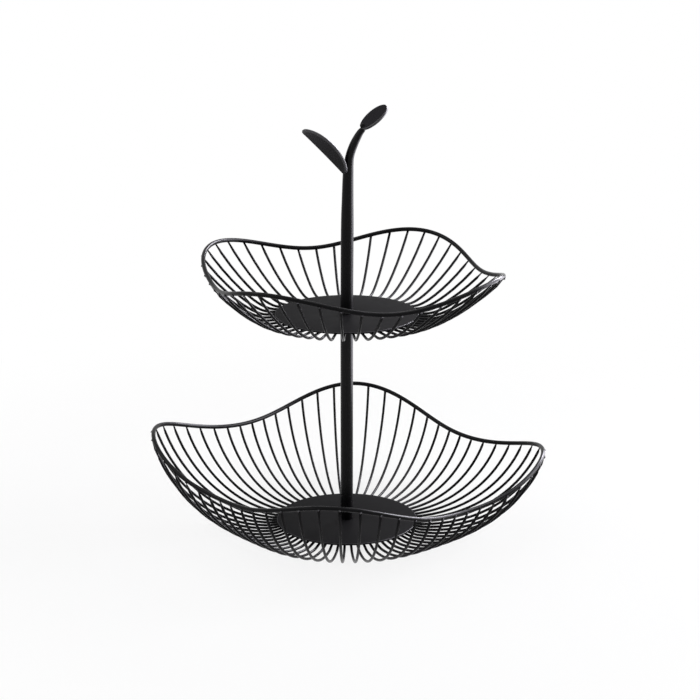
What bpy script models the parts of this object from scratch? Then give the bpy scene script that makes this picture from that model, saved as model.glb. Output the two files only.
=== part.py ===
"""Two-tier fruit stand: two wave-rimmed wire baskets on one centre pole, topped by a twig with two leaves.

All lengths are in metres, +Z is up, the table is at Z = 0 and the pole's axis is X = Y = 0.
Each basket is a thick rim wire, thin ribs that hang from the rim's outer side and run level to a small
ring round the pole, and a flat centre plate on top of them. The screw under the lower plate, the pole
with its two threaded inserts, the stud and the twig clamp both plates on one axis.
"""
import math
from dataclasses import dataclass

import bmesh
import bpy
from mathutils import Vector

# Wires and their welds
RIM_WIRE_DIAMETER = 0.0032
RIB_WIRE_DIAMETER = 0.0020
RING_WIRE_DIAMETER = 0.0024
RING_RADIUS = 0.0270
RIB_END_REACH = 0.0008

# Clearances and the overrun of every cut
FIT_GAP = 0.0003
CUT_OVERRUN = 0.0010
WELD_DISTANCE = 0.00001

# Lower basket: its rim's wave, its depth and its ribs
LOWER_RIM_RADIUS = 0.1472
LOWER_RADIUS_SWING = 0.0128
LOWER_DEPTH = 0.0610
LOWER_HEIGHT_SWING = 0.0110
LOWER_CREST_LIFT = 0.0014
LOWER_RIM_SHIFT = 0.0009
LOWER_LEAN_SHARES = (-0.039, -0.004)
LOWER_TURN = math.radians(-3.1)
LOWER_RIB_COUNT = 64
LOWER_FIRST_RIB = math.radians(4.1)
LOWER_GATHER_SHARE = 0.01
LOWER_CROWD_SHARE = -0.01
LOWER_FOOT_RADIUS = 0.0618
LOWER_CENTRE_RADIUS = 0.0520
LOWER_CENTRE_LIFT = 0.0022
LOWER_BOWL_SHARES = (0.105, 0.440, 0.576)

# Upper basket, the same way
UPPER_RIM_RADIUS = 0.1191
UPPER_RADIUS_SWING = 0.0078
UPPER_DEPTH = 0.0391
UPPER_HEIGHT_SWING = 0.0076
UPPER_CREST_LIFT = 0.0002
UPPER_RIM_SHIFT = 0.0034
UPPER_LEAN_SHARES = (-0.009, 0.002)
UPPER_TURN = math.radians(-27.65)
UPPER_RIB_COUNT = 48
UPPER_FIRST_RIB = math.radians(2.5)
UPPER_GATHER_SHARE = 0.06
UPPER_CROWD_SHARE = 0.04
UPPER_FOOT_RADIUS = 0.0656
UPPER_CENTRE_RADIUS = 0.0450
UPPER_CENTRE_LIFT = 0.0004
UPPER_BOWL_SHARES = (0.244, 0.420, 0.270)

# Centre plates
PLATE_RADIUS = 0.0580
PLATE_THICKNESS = 0.0015
PLATE_CHAMFER = 0.0004
SEAT_DEPTH = 0.0005

# Pole and the hardware inside it
POLE_DIAMETER = 0.0102
POLE_WALL = 0.0009
POLE_LENGTH = 0.1749
THREAD_DIAMETER = 0.0050
INSERT_LENGTH = 0.0160
STUD_LENGTH = 0.0260
BASE_SCREW_LENGTH = 0.0180
SCREW_HEAD_DIAMETER = 0.0110
SCREW_HEAD_HEIGHT = 0.0021
SCREW_HEAD_CHAMFER = 0.0004
SOCKET_WIDTH = 0.0040
SOCKET_DEPTH = 0.0012
WASHER_DIAMETER = 0.0170
WASHER_THICKNESS = 0.0012

# Twig: its height, its sideways reach, and stations up it as shares of height, reach and pole diameter
TWIG_HEIGHT = 0.1510
TWIG_REACH = 0.0145
TWIG_STATION_SHARES = (
    (0.000, 0.00, 1.00), (0.450, 0.03, 1.00), (0.615, 0.05, 0.92), (0.765, 0.08, 0.83), (0.810, 0.11, 0.76),
    (0.845, 0.16, 0.69), (0.880, 0.26, 0.67), (0.925, 0.45, 0.64), (0.970, 0.70, 0.54), (0.990, 0.87, 0.46),
    (1.000, 1.00, 0.38),
)
TWIG_STEPS = 2

# Leaves: outline, bend and how each is turned about its own length
LEFT_LEAF_LENGTH = 0.0471
LEFT_LEAF_WIDTH = 0.0218
LEFT_LEAF_THICKNESS = 0.0023
LEFT_LEAF_ARCH = 0.0049
LEFT_LEAF_RISE = math.radians(45.6)
LEFT_LEAF_ROLL = math.radians(32.9)
LEFT_LEAF_START_SHARES = (0.7629, -0.103)
LEFT_LEAF_FORWARD = 0.0035
LEFT_LEAF_FULLNESS_SHARE = 0.65
RIGHT_LEAF_LENGTH = 0.0266
RIGHT_LEAF_WIDTH = 0.0142
RIGHT_LEAF_THICKNESS = 0.0024
RIGHT_LEAF_ARCH = 0.0003
RIGHT_LEAF_RISE = math.radians(40.2)
RIGHT_LEAF_ROLL = math.radians(36.5)
RIGHT_LEAF_OVERLAP = 0.0024
RIGHT_LEAF_LIFT = 0.0023
RIGHT_LEAF_FULLNESS_SHARE = 0.56
LEAF_TIP_WIDTH = 0.0014
LEAF_EDGE_ROUNDING = 0.0004

# Counts, mesh steps and small angles
WAVES = 4
RIM_POINTS = 72
BOWL_STEPS = 6
LOWER_GROUP_RIBS = 8
UPPER_GROUP_RIBS = 6
TURNED_STEPS = 24
PLATE_STEPS = 48
LEAF_STEPS_ALONG = 14
LEAF_STEPS_ACROSS = 4
WIRE_ROUNDNESS = 1
TWIG_ROUNDNESS = 4
SHARP_ANGLE = math.radians(40)
FULL_TURN = 2 * math.pi
RIM_PROBE = math.radians(0.1)

# Finishes: base colour, roughness and metallic value
BLACK_WIRE_FINISH = ((0.012, 0.012, 0.013), 0.38, 0.0)
BLACK_PLATE_FINISH = ((0.012, 0.012, 0.013), 0.42, 0.0)
BLACK_POLE_FINISH = ((0.014, 0.013, 0.015), 0.32, 0.0)
BLACK_LEAF_FINISH = ((0.016, 0.015, 0.017), 0.36, 0.0)
ZINC_STEEL_FINISH = ((0.56, 0.57, 0.58), 0.35, 1.0)


@dataclass(frozen=True)
class Basket:
    """Sizes of one basket; heights count from the centreline of its ribs where they lie lowest."""

    name: str
    rim_radius: float
    radius_swing: float
    depth: float
    height_swing: float
    crest_lift: float
    rim_shift: float
    lean_shares: tuple
    turn: float
    rib_count: int
    group_ribs: int
    first_rib: float
    gather_share: float
    crowd_share: float
    foot_radius: float
    centre_radius: float
    centre_lift: float
    bowl_shares: tuple
    floor_height: float

    def rim_point(self, angle):
        """Centre of the rim wire at one angle: a wave out and up, and the rim's small lean."""
        wave = math.cos(WAVES * (angle - self.turn))
        sharpened = math.cos(2 * WAVES * (angle - self.turn))
        radius = self.rim_radius + self.radius_swing * wave
        x = self.rim_shift + radius * math.cos(angle)
        y = radius * math.sin(angle)
        lean = self.lean_shares[0] * x + self.lean_shares[1] * y
        return Vector((x, y, self.depth + self.height_swing * wave + self.crest_lift * sharpened + lean))

    def rib_angle(self, index):
        """Angle of one rib at the rim; ribs gather a little at the crests and crowd a little to the right."""
        even = self.first_rib + index * FULL_TURN / self.rib_count
        gathered = self.gather_share / WAVES * math.sin(WAVES * (even - self.turn))
        return even - gathered - self.crowd_share * math.sin(even)

    def rib_path(self, index):
        """Centreline of one rib, from its cut end under the rim's outer side to the ring round the pole."""
        angle = self.rib_angle(index)
        rim = self.rim_point(angle)
        rim_run = (self.rim_point(angle + RIM_PROBE) - self.rim_point(angle - RIM_PROBE)).normalized()
        heading = Vector((rim.x, rim.y)).normalized()
        distance = Vector((rim.x, rim.y)).length
        lean_in, hang, sweep = self.bowl_shares
        climb = Vector((lean_in * (distance - self.foot_radius), hang * rim.z)).normalized()
        beside = Vector((climb.y, -climb.x))
        across = rim_run.cross(in_plane(climb, heading)).normalized()
        clearance = RIM_WIRE_DIAMETER / 2 + RIB_WIRE_DIAMETER / 2 + FIT_GAP
        offset = clearance / abs(across.dot(in_plane(beside, heading)))
        start = Vector((distance, rim.z)) + offset * beside + RIB_END_REACH * climb
        foot = Vector((self.foot_radius, 0))
        span = start.x - foot.x
        handle_out = start - Vector((lean_in * span, hang * start.y))
        handle_in = foot + Vector((sweep * span, 0))
        profile = []
        for step in range(BOWL_STEPS + 1):
            profile.append(bezier_point(start, handle_out, handle_in, foot, step / BOWL_STEPS))
        profile.append(Vector((self.centre_radius, self.centre_lift)))
        profile.append(Vector((RING_RADIUS, self.centre_lift)))
        return [in_plane(spot, heading) for spot in profile]

    def rib_heading(self, index):
        """Angle round the pole of the vertical plane that a rib lies in, counted on past a full turn."""
        angle = self.rib_angle(index)
        rim = self.rim_point(angle)
        heading = math.atan2(rim.y, rim.x)
        return heading + FULL_TURN * round((angle - heading) / FULL_TURN)

    def gap_heading(self, index):
        """Angle round the pole half way between a rib and the one before it."""
        return (self.rib_heading(index - 1) + self.rib_heading(index)) / 2

    @property
    def plate_underside(self):
        """Height of the plate's underside, just over the ring."""
        return self.centre_lift + RING_WIRE_DIAMETER / 2 + FIT_GAP


def in_plane(spot, heading):
    """Place a radius and a height in the upright plane through the pole with the given heading."""
    return Vector((heading.x * spot.x, heading.y * spot.x, spot.y))


def bezier_point(start, handle_out, handle_in, end, share):
    """Point of a cubic curve at a share of its way."""
    rest = 1 - share
    return (rest ** 3 * start + 3 * rest ** 2 * share * handle_out
            + 3 * rest * share ** 2 * handle_in + share ** 3 * end)


def new_collection(name):
    """Collection of its own in the scene."""
    collection = bpy.data.collections.new(name)
    bpy.context.scene.collection.children.link(collection)
    return collection


def new_material(name, colour, roughness, metallic):
    """Plain Principled finish."""
    material = bpy.data.materials.new(name)
    material.use_nodes = True
    shader = material.node_tree.nodes["Principled BSDF"]
    shader.inputs["Base Color"].default_value = (*colour, 1)
    shader.inputs["Roughness"].default_value = roughness
    shader.inputs["Metallic"].default_value = metallic
    material.diffuse_color = (*colour, 1)
    return material


def place(name, data, collection, material=None, parent=None):
    """Object with its data in a collection, with its material and parent."""
    item = bpy.data.objects.new(name, data)
    collection.objects.link(item)
    if material:
        data.materials.append(material)
    if parent:
        item.parent = parent
    return item


def as_cutter(item):
    """Mark an object as a guide that only shapes others."""
    item.hide_render = True
    item.display_type = "WIRE"
    return item


def wire_curve(name, paths, diameter, roundness, closed=False, thickness_shares=None):
    """Round wires along the given paths, with filled ends unless closed."""
    curve = bpy.data.curves.new(name, "CURVE")
    curve.dimensions = "3D"
    curve.bevel_depth = diameter / 2
    curve.bevel_resolution = roundness
    curve.use_fill_caps = not closed
    for path in paths:
        spline = curve.splines.new("POLY")
        spline.points.add(len(path) - 1)
        spline.use_cyclic_u = closed
        for index, point in enumerate(path):
            spline.points[index].co = (*point, 1)
            if thickness_shares:
                spline.points[index].radius = thickness_shares[index]
    return curve


def as_mesh_object(item, collection):
    """Mesh copy of a curve object with its end caps welded; the curve is removed."""
    bpy.context.view_layer.update()
    graph = bpy.context.evaluated_depsgraph_get()
    mesh = bpy.data.meshes.new_from_object(item.evaluated_get(graph))
    shape = bmesh.new()
    shape.from_mesh(mesh)
    bmesh.ops.remove_doubles(shape, verts=shape.verts, dist=WELD_DISTANCE)
    shape.to_mesh(mesh)
    shape.free()
    mesh.shade_smooth()
    mesh.set_sharp_from_angle(angle=SHARP_ANGLE)
    name = item.name
    parent = item.parent
    matrix = item.matrix_world.copy()
    bpy.data.objects.remove(item)
    solid = bpy.data.objects.new(name, mesh)
    collection.objects.link(solid)
    solid.parent = parent
    solid.matrix_world = matrix
    return solid


def boolean(item, other, operation):
    """Exact Boolean of one object with another."""
    modifier = item.modifiers.new(operation.lower(), "BOOLEAN")
    modifier.operation = operation
    modifier.solver = "EXACT"
    modifier.object = other


def turned(name, section, collection, material, height=0, parent=None, closed=True, steps=TURNED_STEPS):
    """Turned piece: the section runs down its outer side and is spun round the pole's axis."""
    mesh = bpy.data.meshes.new(name)
    outline = bmesh.new()
    corners = [outline.verts.new((radius, 0, level)) for radius, level in section]
    for first, second in zip(corners, corners[1:]):
        outline.edges.new((first, second))
    if closed:
        outline.edges.new((corners[-1], corners[0]))
    outline.to_mesh(mesh)
    outline.free()
    item = place(name, mesh, collection, material, parent)
    item.location = (0, 0, height)
    spin = item.modifiers.new("spin", "SCREW")
    spin.axis = "Z"
    spin.steps = steps
    spin.render_steps = steps
    spin.use_merge_vertices = True
    spin.merge_threshold = WELD_DISTANCE
    return item


def cylinder_cutter(name, diameter, length, centre_height, collection, sides=TURNED_STEPS):
    """Upright cylinder on the pole's axis that cuts a bore or a socket."""
    mesh = bpy.data.meshes.new(name)
    shape = bmesh.new()
    bmesh.ops.create_cone(
        shape, cap_ends=True, segments=sides, radius1=diameter / 2, radius2=diameter / 2, depth=length
    )
    shape.to_mesh(mesh)
    shape.free()
    item = as_cutter(place(name, mesh, collection))
    item.location = (0, 0, centre_height)
    return item


def build_rim(basket, collection, material, parent):
    """Closed rim wire that follows the basket's wave."""
    path = [basket.rim_point(FULL_TURN * index / RIM_POINTS) for index in range(RIM_POINTS)]
    curve = wire_curve(f"{basket.name}_rim", [path], RIM_WIRE_DIAMETER, WIRE_ROUNDNESS, closed=True)
    return place(curve.name, curve, collection, material, parent)


def build_rib_group(basket, number, collection, cutters, material, parent):
    """Neighbouring ribs welded to their stretch of the ring round the pole."""
    first = number * basket.group_ribs
    after = first + basket.group_ribs
    half_gap = FIT_GAP / 2 / RING_RADIUS
    start = basket.gap_heading(first) + half_gap
    end = basket.gap_heading(after) - half_gap
    steps = basket.group_ribs // 2
    ring_path = []
    for step in range(steps + 1):
        angle = start + (end - start) * step / steps
        ring_path.append(
            Vector((RING_RADIUS * math.cos(angle), RING_RADIUS * math.sin(angle), basket.centre_lift))
        )
    name = f"{basket.name}_ribs_{number + 1}"
    ring_curve = wire_curve(name, [ring_path], RING_WIRE_DIAMETER, WIRE_ROUNDNESS)
    group = as_mesh_object(place(name, ring_curve, collection, material, parent), collection)
    paths = [basket.rib_path(index) for index in range(first, after)]
    rib_curve = wire_curve(f"{name}_wires", paths, RIB_WIRE_DIAMETER, WIRE_ROUNDNESS)
    wires = as_cutter(as_mesh_object(place(f"{name}_wires", rib_curve, cutters, material, parent), cutters))
    boolean(group, wires, "UNION")


def build_plate(basket, collection, material, parent):
    """Flat round plate over the inner ends of the ribs, with the hole that the clamping thread passes.

    A shallow seat round the hole centres the pole or the twig that stands on the plate.
    """
    bore = THREAD_DIAMETER / 2 + FIT_GAP
    seat = POLE_DIAMETER / 2 + FIT_GAP
    section = (
        (bore, PLATE_THICKNESS - SEAT_DEPTH),
        (seat, PLATE_THICKNESS - SEAT_DEPTH),
        (seat, PLATE_THICKNESS),
        (PLATE_RADIUS - PLATE_CHAMFER, PLATE_THICKNESS),
        (PLATE_RADIUS, PLATE_THICKNESS - PLATE_CHAMFER),
        (PLATE_RADIUS, PLATE_CHAMFER),
        (PLATE_RADIUS - PLATE_CHAMFER, 0),
        (bore, 0),
    )
    return turned(f"{basket.name}_plate", section, collection, material, basket.plate_underside, parent,
                  steps=PLATE_STEPS)


def build_basket(basket, collection, cutters, wire, plate):
    """Rim, rib groups and plate of one basket under one empty on the pole's axis."""
    seat = place(f"{basket.name}_basket", None, collection)
    seat.location = (0, 0, basket.floor_height)
    bpy.context.view_layer.update()
    build_rim(basket, collection, wire, seat)
    for number in range(basket.rib_count // basket.group_ribs):
        build_rib_group(basket, number, collection, cutters, wire, seat)
    build_plate(basket, collection, plate, seat)


def build_pole(bottom, collection, paint, steel):
    """Pole tube and the threaded insert in each of its ends."""
    outer = POLE_DIAMETER / 2
    inner = outer - POLE_WALL
    tube = ((outer, POLE_LENGTH), (outer, 0), (inner, 0), (inner, POLE_LENGTH))
    turned("pole_tube", tube, collection, paint, bottom)
    insert_outer = inner - FIT_GAP
    bore = THREAD_DIAMETER / 2 + FIT_GAP
    insert = ((insert_outer, INSERT_LENGTH), (insert_outer, 0), (bore, 0), (bore, INSERT_LENGTH))
    turned("pole_bottom_insert", insert, collection, steel, bottom)
    turned("pole_top_insert", insert, collection, steel, bottom + POLE_LENGTH - INSERT_LENGTH)


def build_base_hardware(plate_underside, collection, cutters, steel):
    """Washer and socket screw that pull the pole down on the lower plate from below."""
    washer_bottom = plate_underside - FIT_GAP - WASHER_THICKNESS
    bore = THREAD_DIAMETER / 2 + FIT_GAP
    rim = WASHER_DIAMETER / 2
    washer = ((rim, WASHER_THICKNESS), (rim, 0), (bore, 0), (bore, WASHER_THICKNESS))
    turned("base_washer", washer, collection, steel, washer_bottom)
    head_top = washer_bottom - FIT_GAP
    head = SCREW_HEAD_DIAMETER / 2
    shank = THREAD_DIAMETER / 2
    profile = (
        (0, BASE_SCREW_LENGTH),
        (shank, BASE_SCREW_LENGTH),
        (shank, 0),
        (head, 0),
        (head, SCREW_HEAD_CHAMFER - SCREW_HEAD_HEIGHT),
        (head - SCREW_HEAD_CHAMFER, -SCREW_HEAD_HEIGHT),
        (0, -SCREW_HEAD_HEIGHT),
    )
    screw = turned("base_screw", profile, collection, steel, head_top, closed=False)
    socket_centre = head_top - SCREW_HEAD_HEIGHT + (SOCKET_DEPTH - CUT_OVERRUN) / 2
    socket_length = SOCKET_DEPTH + CUT_OVERRUN
    socket = cylinder_cutter("socket", SOCKET_WIDTH, socket_length, socket_centre, cutters, sides=6)
    boolean(screw, socket, "DIFFERENCE")


def build_stud(centre_height, collection, steel):
    """Headless stud that joins the pole's top insert to the twig through the upper plate."""
    profile = (
        (0, STUD_LENGTH / 2),
        (THREAD_DIAMETER / 2, STUD_LENGTH / 2),
        (THREAD_DIAMETER / 2, -STUD_LENGTH / 2),
        (0, -STUD_LENGTH / 2),
    )
    turned("joining_stud", profile, collection, steel, centre_height, closed=False)


def twig_stations():
    """Smooth stations up the twig: height above its foot, sideways place and diameter."""
    rows = [
        (high * TWIG_HEIGHT, side * TWIG_REACH, thick * POLE_DIAMETER)
        for high, side, thick in TWIG_STATION_SHARES
    ]
    padded = [rows[0], *rows, rows[-1]]
    stations = []
    for index in range(1, len(padded) - 2):
        a, b, c, d = (Vector(padded[index + shift]) for shift in (-1, 0, 1, 2))
        for step in range(TWIG_STEPS):
            share = step / TWIG_STEPS
            stations.append(b + (share / 2) * (c - a) + share ** 2 * (a - 5 / 2 * b + 2 * c - d / 2)
                            + share ** 3 / 2 * (3 * b - a - 3 * c + d))
    stations.append(Vector(rows[-1]))
    return stations


def twig_curve(name, growth):
    """Twig as a tapering wire along its stations, with its surface moved out by the growth."""
    stations = twig_stations()
    path = [Vector((station.y, 0, station.x)) for station in stations]
    path[-1] += growth * (path[-1] - path[-2]).normalized()
    shares = [(station.z + 2 * growth) / POLE_DIAMETER for station in stations]
    return wire_curve(name, [path], POLE_DIAMETER, TWIG_ROUNDNESS, thickness_shares=shares)


def build_twig(foot, collection, cutters, material):
    """Twig with the blind bore in its foot that takes the stud."""
    curve_item = place("twig", twig_curve("twig", 0), collection, material)
    curve_item.location = (0, 0, foot)
    twig = as_mesh_object(curve_item, collection)
    depth = STUD_LENGTH / 2 + FIT_GAP
    bore_centre = foot + (depth - CUT_OVERRUN) / 2
    bore = cylinder_cutter(
        "twig_bore", THREAD_DIAMETER + 2 * FIT_GAP, depth + CUT_OVERRUN, bore_centre, cutters
    )
    boolean(twig, bore, "DIFFERENCE")
    return twig


def leaf(name, base, angles, length, width, thickness, arch, fullness_share, collection, material):
    """Leaf plate: a grid narrowed to a leaf outline, arched along its length and given its thickness."""
    mesh = bpy.data.meshes.new(name)
    sheet = bmesh.new()
    bmesh.ops.create_grid(sheet, x_segments=LEAF_STEPS_ALONG, y_segments=LEAF_STEPS_ACROSS, size=1)
    for vertex in sheet.verts:
        along = (1 - math.cos(math.pi * (vertex.co.x + 1) / 2)) / 2
        across = vertex.co.y
        swell = (4 * along * (1 - along)) ** fullness_share
        half_width = LEAF_TIP_WIDTH / 2 + (width - LEAF_TIP_WIDTH) / 2 * swell
        vertex.co = (length * along, half_width * across, arch * swell)
    sheet.to_mesh(mesh)
    sheet.free()
    item = place(name, mesh, collection, material)
    item.location = base
    rise, roll, heading = angles
    item.rotation_euler = (roll, -rise, heading)
    wall = item.modifiers.new("wall", "SOLIDIFY")
    wall.thickness = thickness
    wall.offset = 0
    rounding = item.modifiers.new("rounding", "BEVEL")
    rounding.width = LEAF_EDGE_ROUNDING
    rounding.segments = 1
    rounding.limit_method = "ANGLE"
    mesh.shade_smooth()
    return item


def build_leaves(foot, collection, cutters, material):
    """Left leaf on the twig's front left side and right leaf on its tip, both cut to sit on the twig."""
    high_share, side_share = LEFT_LEAF_START_SHARES
    left_base = Vector((side_share * TWIG_REACH, -LEFT_LEAF_FORWARD, foot + high_share * TWIG_HEIGHT))
    left = leaf(
        "left_leaf", left_base, (LEFT_LEAF_RISE, LEFT_LEAF_ROLL, math.pi),
        LEFT_LEAF_LENGTH, LEFT_LEAF_WIDTH, LEFT_LEAF_THICKNESS, LEFT_LEAF_ARCH, LEFT_LEAF_FULLNESS_SHARE,
        collection, material,
    )
    saddle_curve = place("leaf_saddle", twig_curve("leaf_saddle", FIT_GAP), cutters)
    saddle_curve.location = (0, 0, foot)
    saddle = as_cutter(as_mesh_object(saddle_curve, cutters))
    along = Vector((math.cos(RIGHT_LEAF_RISE), 0, math.sin(RIGHT_LEAF_RISE)))
    upright = Vector((-math.sin(RIGHT_LEAF_RISE), 0, math.cos(RIGHT_LEAF_RISE)))
    face = math.cos(RIGHT_LEAF_ROLL) * upright - math.sin(RIGHT_LEAF_ROLL) * Vector((0, 1, 0))
    tip = Vector((TWIG_REACH, 0, foot + TWIG_HEIGHT))
    right_base = tip - RIGHT_LEAF_OVERLAP * along + RIGHT_LEAF_LIFT * face
    right = leaf(
        "right_leaf", right_base, (RIGHT_LEAF_RISE, RIGHT_LEAF_ROLL, 0),
        RIGHT_LEAF_LENGTH, RIGHT_LEAF_WIDTH, RIGHT_LEAF_THICKNESS, RIGHT_LEAF_ARCH, RIGHT_LEAF_FULLNESS_SHARE,
        collection, material,
    )
    for item in (left, right):
        boolean(item, saddle, "DIFFERENCE")


def main():
    """Build the stand from the table up."""
    for item in list(bpy.data.objects):
        bpy.data.objects.remove(item)
    stand = new_collection("two_tier_fruit_stand")
    cutters = new_collection("cutters")
    wire = new_material("black_wire", *BLACK_WIRE_FINISH)
    plate = new_material("black_plate", *BLACK_PLATE_FINISH)
    paint = new_material("black_pole", *BLACK_POLE_FINISH)
    leaves = new_material("black_leaf", *BLACK_LEAF_FINISH)
    steel = new_material("zinc_steel", *ZINC_STEEL_FINISH)

    lower = Basket(
        "lower", LOWER_RIM_RADIUS, LOWER_RADIUS_SWING, LOWER_DEPTH, LOWER_HEIGHT_SWING, LOWER_CREST_LIFT,
        LOWER_RIM_SHIFT, LOWER_LEAN_SHARES, LOWER_TURN,
        LOWER_RIB_COUNT, LOWER_GROUP_RIBS, LOWER_FIRST_RIB, LOWER_GATHER_SHARE, LOWER_CROWD_SHARE,
        LOWER_FOOT_RADIUS, LOWER_CENTRE_RADIUS, LOWER_CENTRE_LIFT, LOWER_BOWL_SHARES, RIB_WIRE_DIAMETER / 2,
    )
    lower_underside = lower.floor_height + lower.plate_underside
    pole_bottom = lower_underside + PLATE_THICKNESS - SEAT_DEPTH + FIT_GAP
    upper_underside = pole_bottom + POLE_LENGTH + FIT_GAP
    upper_floor = upper_underside - UPPER_CENTRE_LIFT - RING_WIRE_DIAMETER / 2 - FIT_GAP
    upper = Basket(
        "upper", UPPER_RIM_RADIUS, UPPER_RADIUS_SWING, UPPER_DEPTH, UPPER_HEIGHT_SWING, UPPER_CREST_LIFT,
        UPPER_RIM_SHIFT, UPPER_LEAN_SHARES, UPPER_TURN,
        UPPER_RIB_COUNT, UPPER_GROUP_RIBS, UPPER_FIRST_RIB, UPPER_GATHER_SHARE, UPPER_CROWD_SHARE,
        UPPER_FOOT_RADIUS, UPPER_CENTRE_RADIUS, UPPER_CENTRE_LIFT, UPPER_BOWL_SHARES, upper_floor,
    )
    twig_foot = upper_underside + PLATE_THICKNESS - SEAT_DEPTH + FIT_GAP
    for basket in (lower, upper):
        build_basket(basket, stand, cutters, wire, plate)
    build_pole(pole_bottom, stand, paint, steel)
    build_base_hardware(lower_underside, stand, cutters, steel)
    build_stud(upper_underside + PLATE_THICKNESS / 2, stand, steel)
    build_twig(twig_foot, stand, cutters, leaves)
    build_leaves(twig_foot, stand, cutters, leaves)


main()
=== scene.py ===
"""Looks of the two-tier fruit stand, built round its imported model.

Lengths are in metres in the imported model's frame: +Z up, the table at Z = 0, the pole on X = Y = 0.
Each sub-assembly is a class: it builds its meshes, dresses them and hands them to their body.
"""
from __future__ import annotations

import logging
import math
from abc import ABC, abstractmethod
from collections.abc import Callable, Sequence
from dataclasses import dataclass, field
from enum import Enum
from functools import cached_property

import bmesh
import bpy
from mathutils import Euler, Matrix, Vector


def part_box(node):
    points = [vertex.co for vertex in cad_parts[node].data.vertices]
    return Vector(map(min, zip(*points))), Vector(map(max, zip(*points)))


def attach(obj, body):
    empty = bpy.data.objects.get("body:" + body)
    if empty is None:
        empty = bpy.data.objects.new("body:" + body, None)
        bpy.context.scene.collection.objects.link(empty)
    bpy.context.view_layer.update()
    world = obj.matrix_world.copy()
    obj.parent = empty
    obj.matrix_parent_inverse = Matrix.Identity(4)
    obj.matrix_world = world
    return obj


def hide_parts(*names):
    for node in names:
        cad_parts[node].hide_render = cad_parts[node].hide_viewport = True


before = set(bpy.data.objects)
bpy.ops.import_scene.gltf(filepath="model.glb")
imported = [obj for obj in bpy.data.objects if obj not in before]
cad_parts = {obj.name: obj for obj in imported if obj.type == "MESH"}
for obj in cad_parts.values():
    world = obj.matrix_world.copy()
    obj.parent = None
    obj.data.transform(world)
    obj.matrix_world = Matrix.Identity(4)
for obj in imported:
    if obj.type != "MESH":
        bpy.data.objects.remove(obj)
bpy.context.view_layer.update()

LOG = logging.getLogger("fruit_stand")
FULL_TURN = 2 * math.pi
MERGE_DISTANCE = 0.000001

# Sizes that several pieces share; the wires are measured over their coat, which lifts the ribs a little
RIM_WIRE_DIAMETER = 0.0035
RIB_WIRE_DIAMETER = 0.0022
RIB_COAT = 0.0002
RING_WIRE_DIAMETER = 0.0024
RING_RADIUS = 0.0270
FIT_GAP = 0.0003
WELD_SINK = 0.0009
RIB_END_REACH = 0.0004

# Crests of a rim's wave, and the angle over which the wave's direction is measured
WAVES = 4
RIM_PROBE = math.radians(0.1)

# Half sizes of the weld beads, along, across and outward, and the share by which a bead may differ
RIM_BEAD = Vector((0.00160, 0.00100, 0.00035))
RING_BEAD = Vector((0.00150, 0.00110, 0.00060))
LEAF_BEAD = Vector((0.0024, 0.0017, 0.0032))
BEAD_SPREAD = 0.15

# A wire's cut end and the twig's tip: ways in, in radii, with the share of the full thickness there
CUT_END = ((0.0, 0.40), (0.12, 0.64), (0.34, 0.84), (0.80, 0.97))
ROUND_TIP = ((0.60, 0.97), (0.35, 0.87), (0.15, 0.69), (0.04, 0.45), (0.0, 0.20))

# The edge of the twig's foot: ways up and insets, both as shares of its rounding
FOOT_EDGE = ((0.0, 1.0), (0.25, 0.45), (0.6, 0.1), (1.0, 0.0))

# Lengthwise lines on a leaf's two faces, as shares of the half width between its rounded edges
LEAF_LINES = (0.96, 0.50, 0.0, -0.50, -0.96)

Colour = tuple[float, float, float]


class Body(Enum):
    """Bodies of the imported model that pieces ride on."""

    ROOT = "root"
    UPPER_BASKET = "upper_basket"


class Slot(Enum):
    """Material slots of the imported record."""

    WIRE = "wire"
    PLATE = "plate"
    POLE = "pole"
    TWIG = "twig"
    HARDWARE = "hardware"


class PathAttribute(Enum):
    """Values that a guide or a piece carries, one for each of its points."""

    THICKNESS = "thickness"
    COAT_WEAR_AND_SHEEN = "coat_wear_and_sheen"
    ALONG = "bead_along"
    OUTWARD = "bead_outward"
    SIZE = "bead_size"

    @property
    def kind(self) -> str:
        """Blender's type of the value."""
        vectors = (PathAttribute.ALONG, PathAttribute.OUTWARD, PathAttribute.SIZE)
        return "FLOAT_VECTOR" if self in vectors else "FLOAT"


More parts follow.
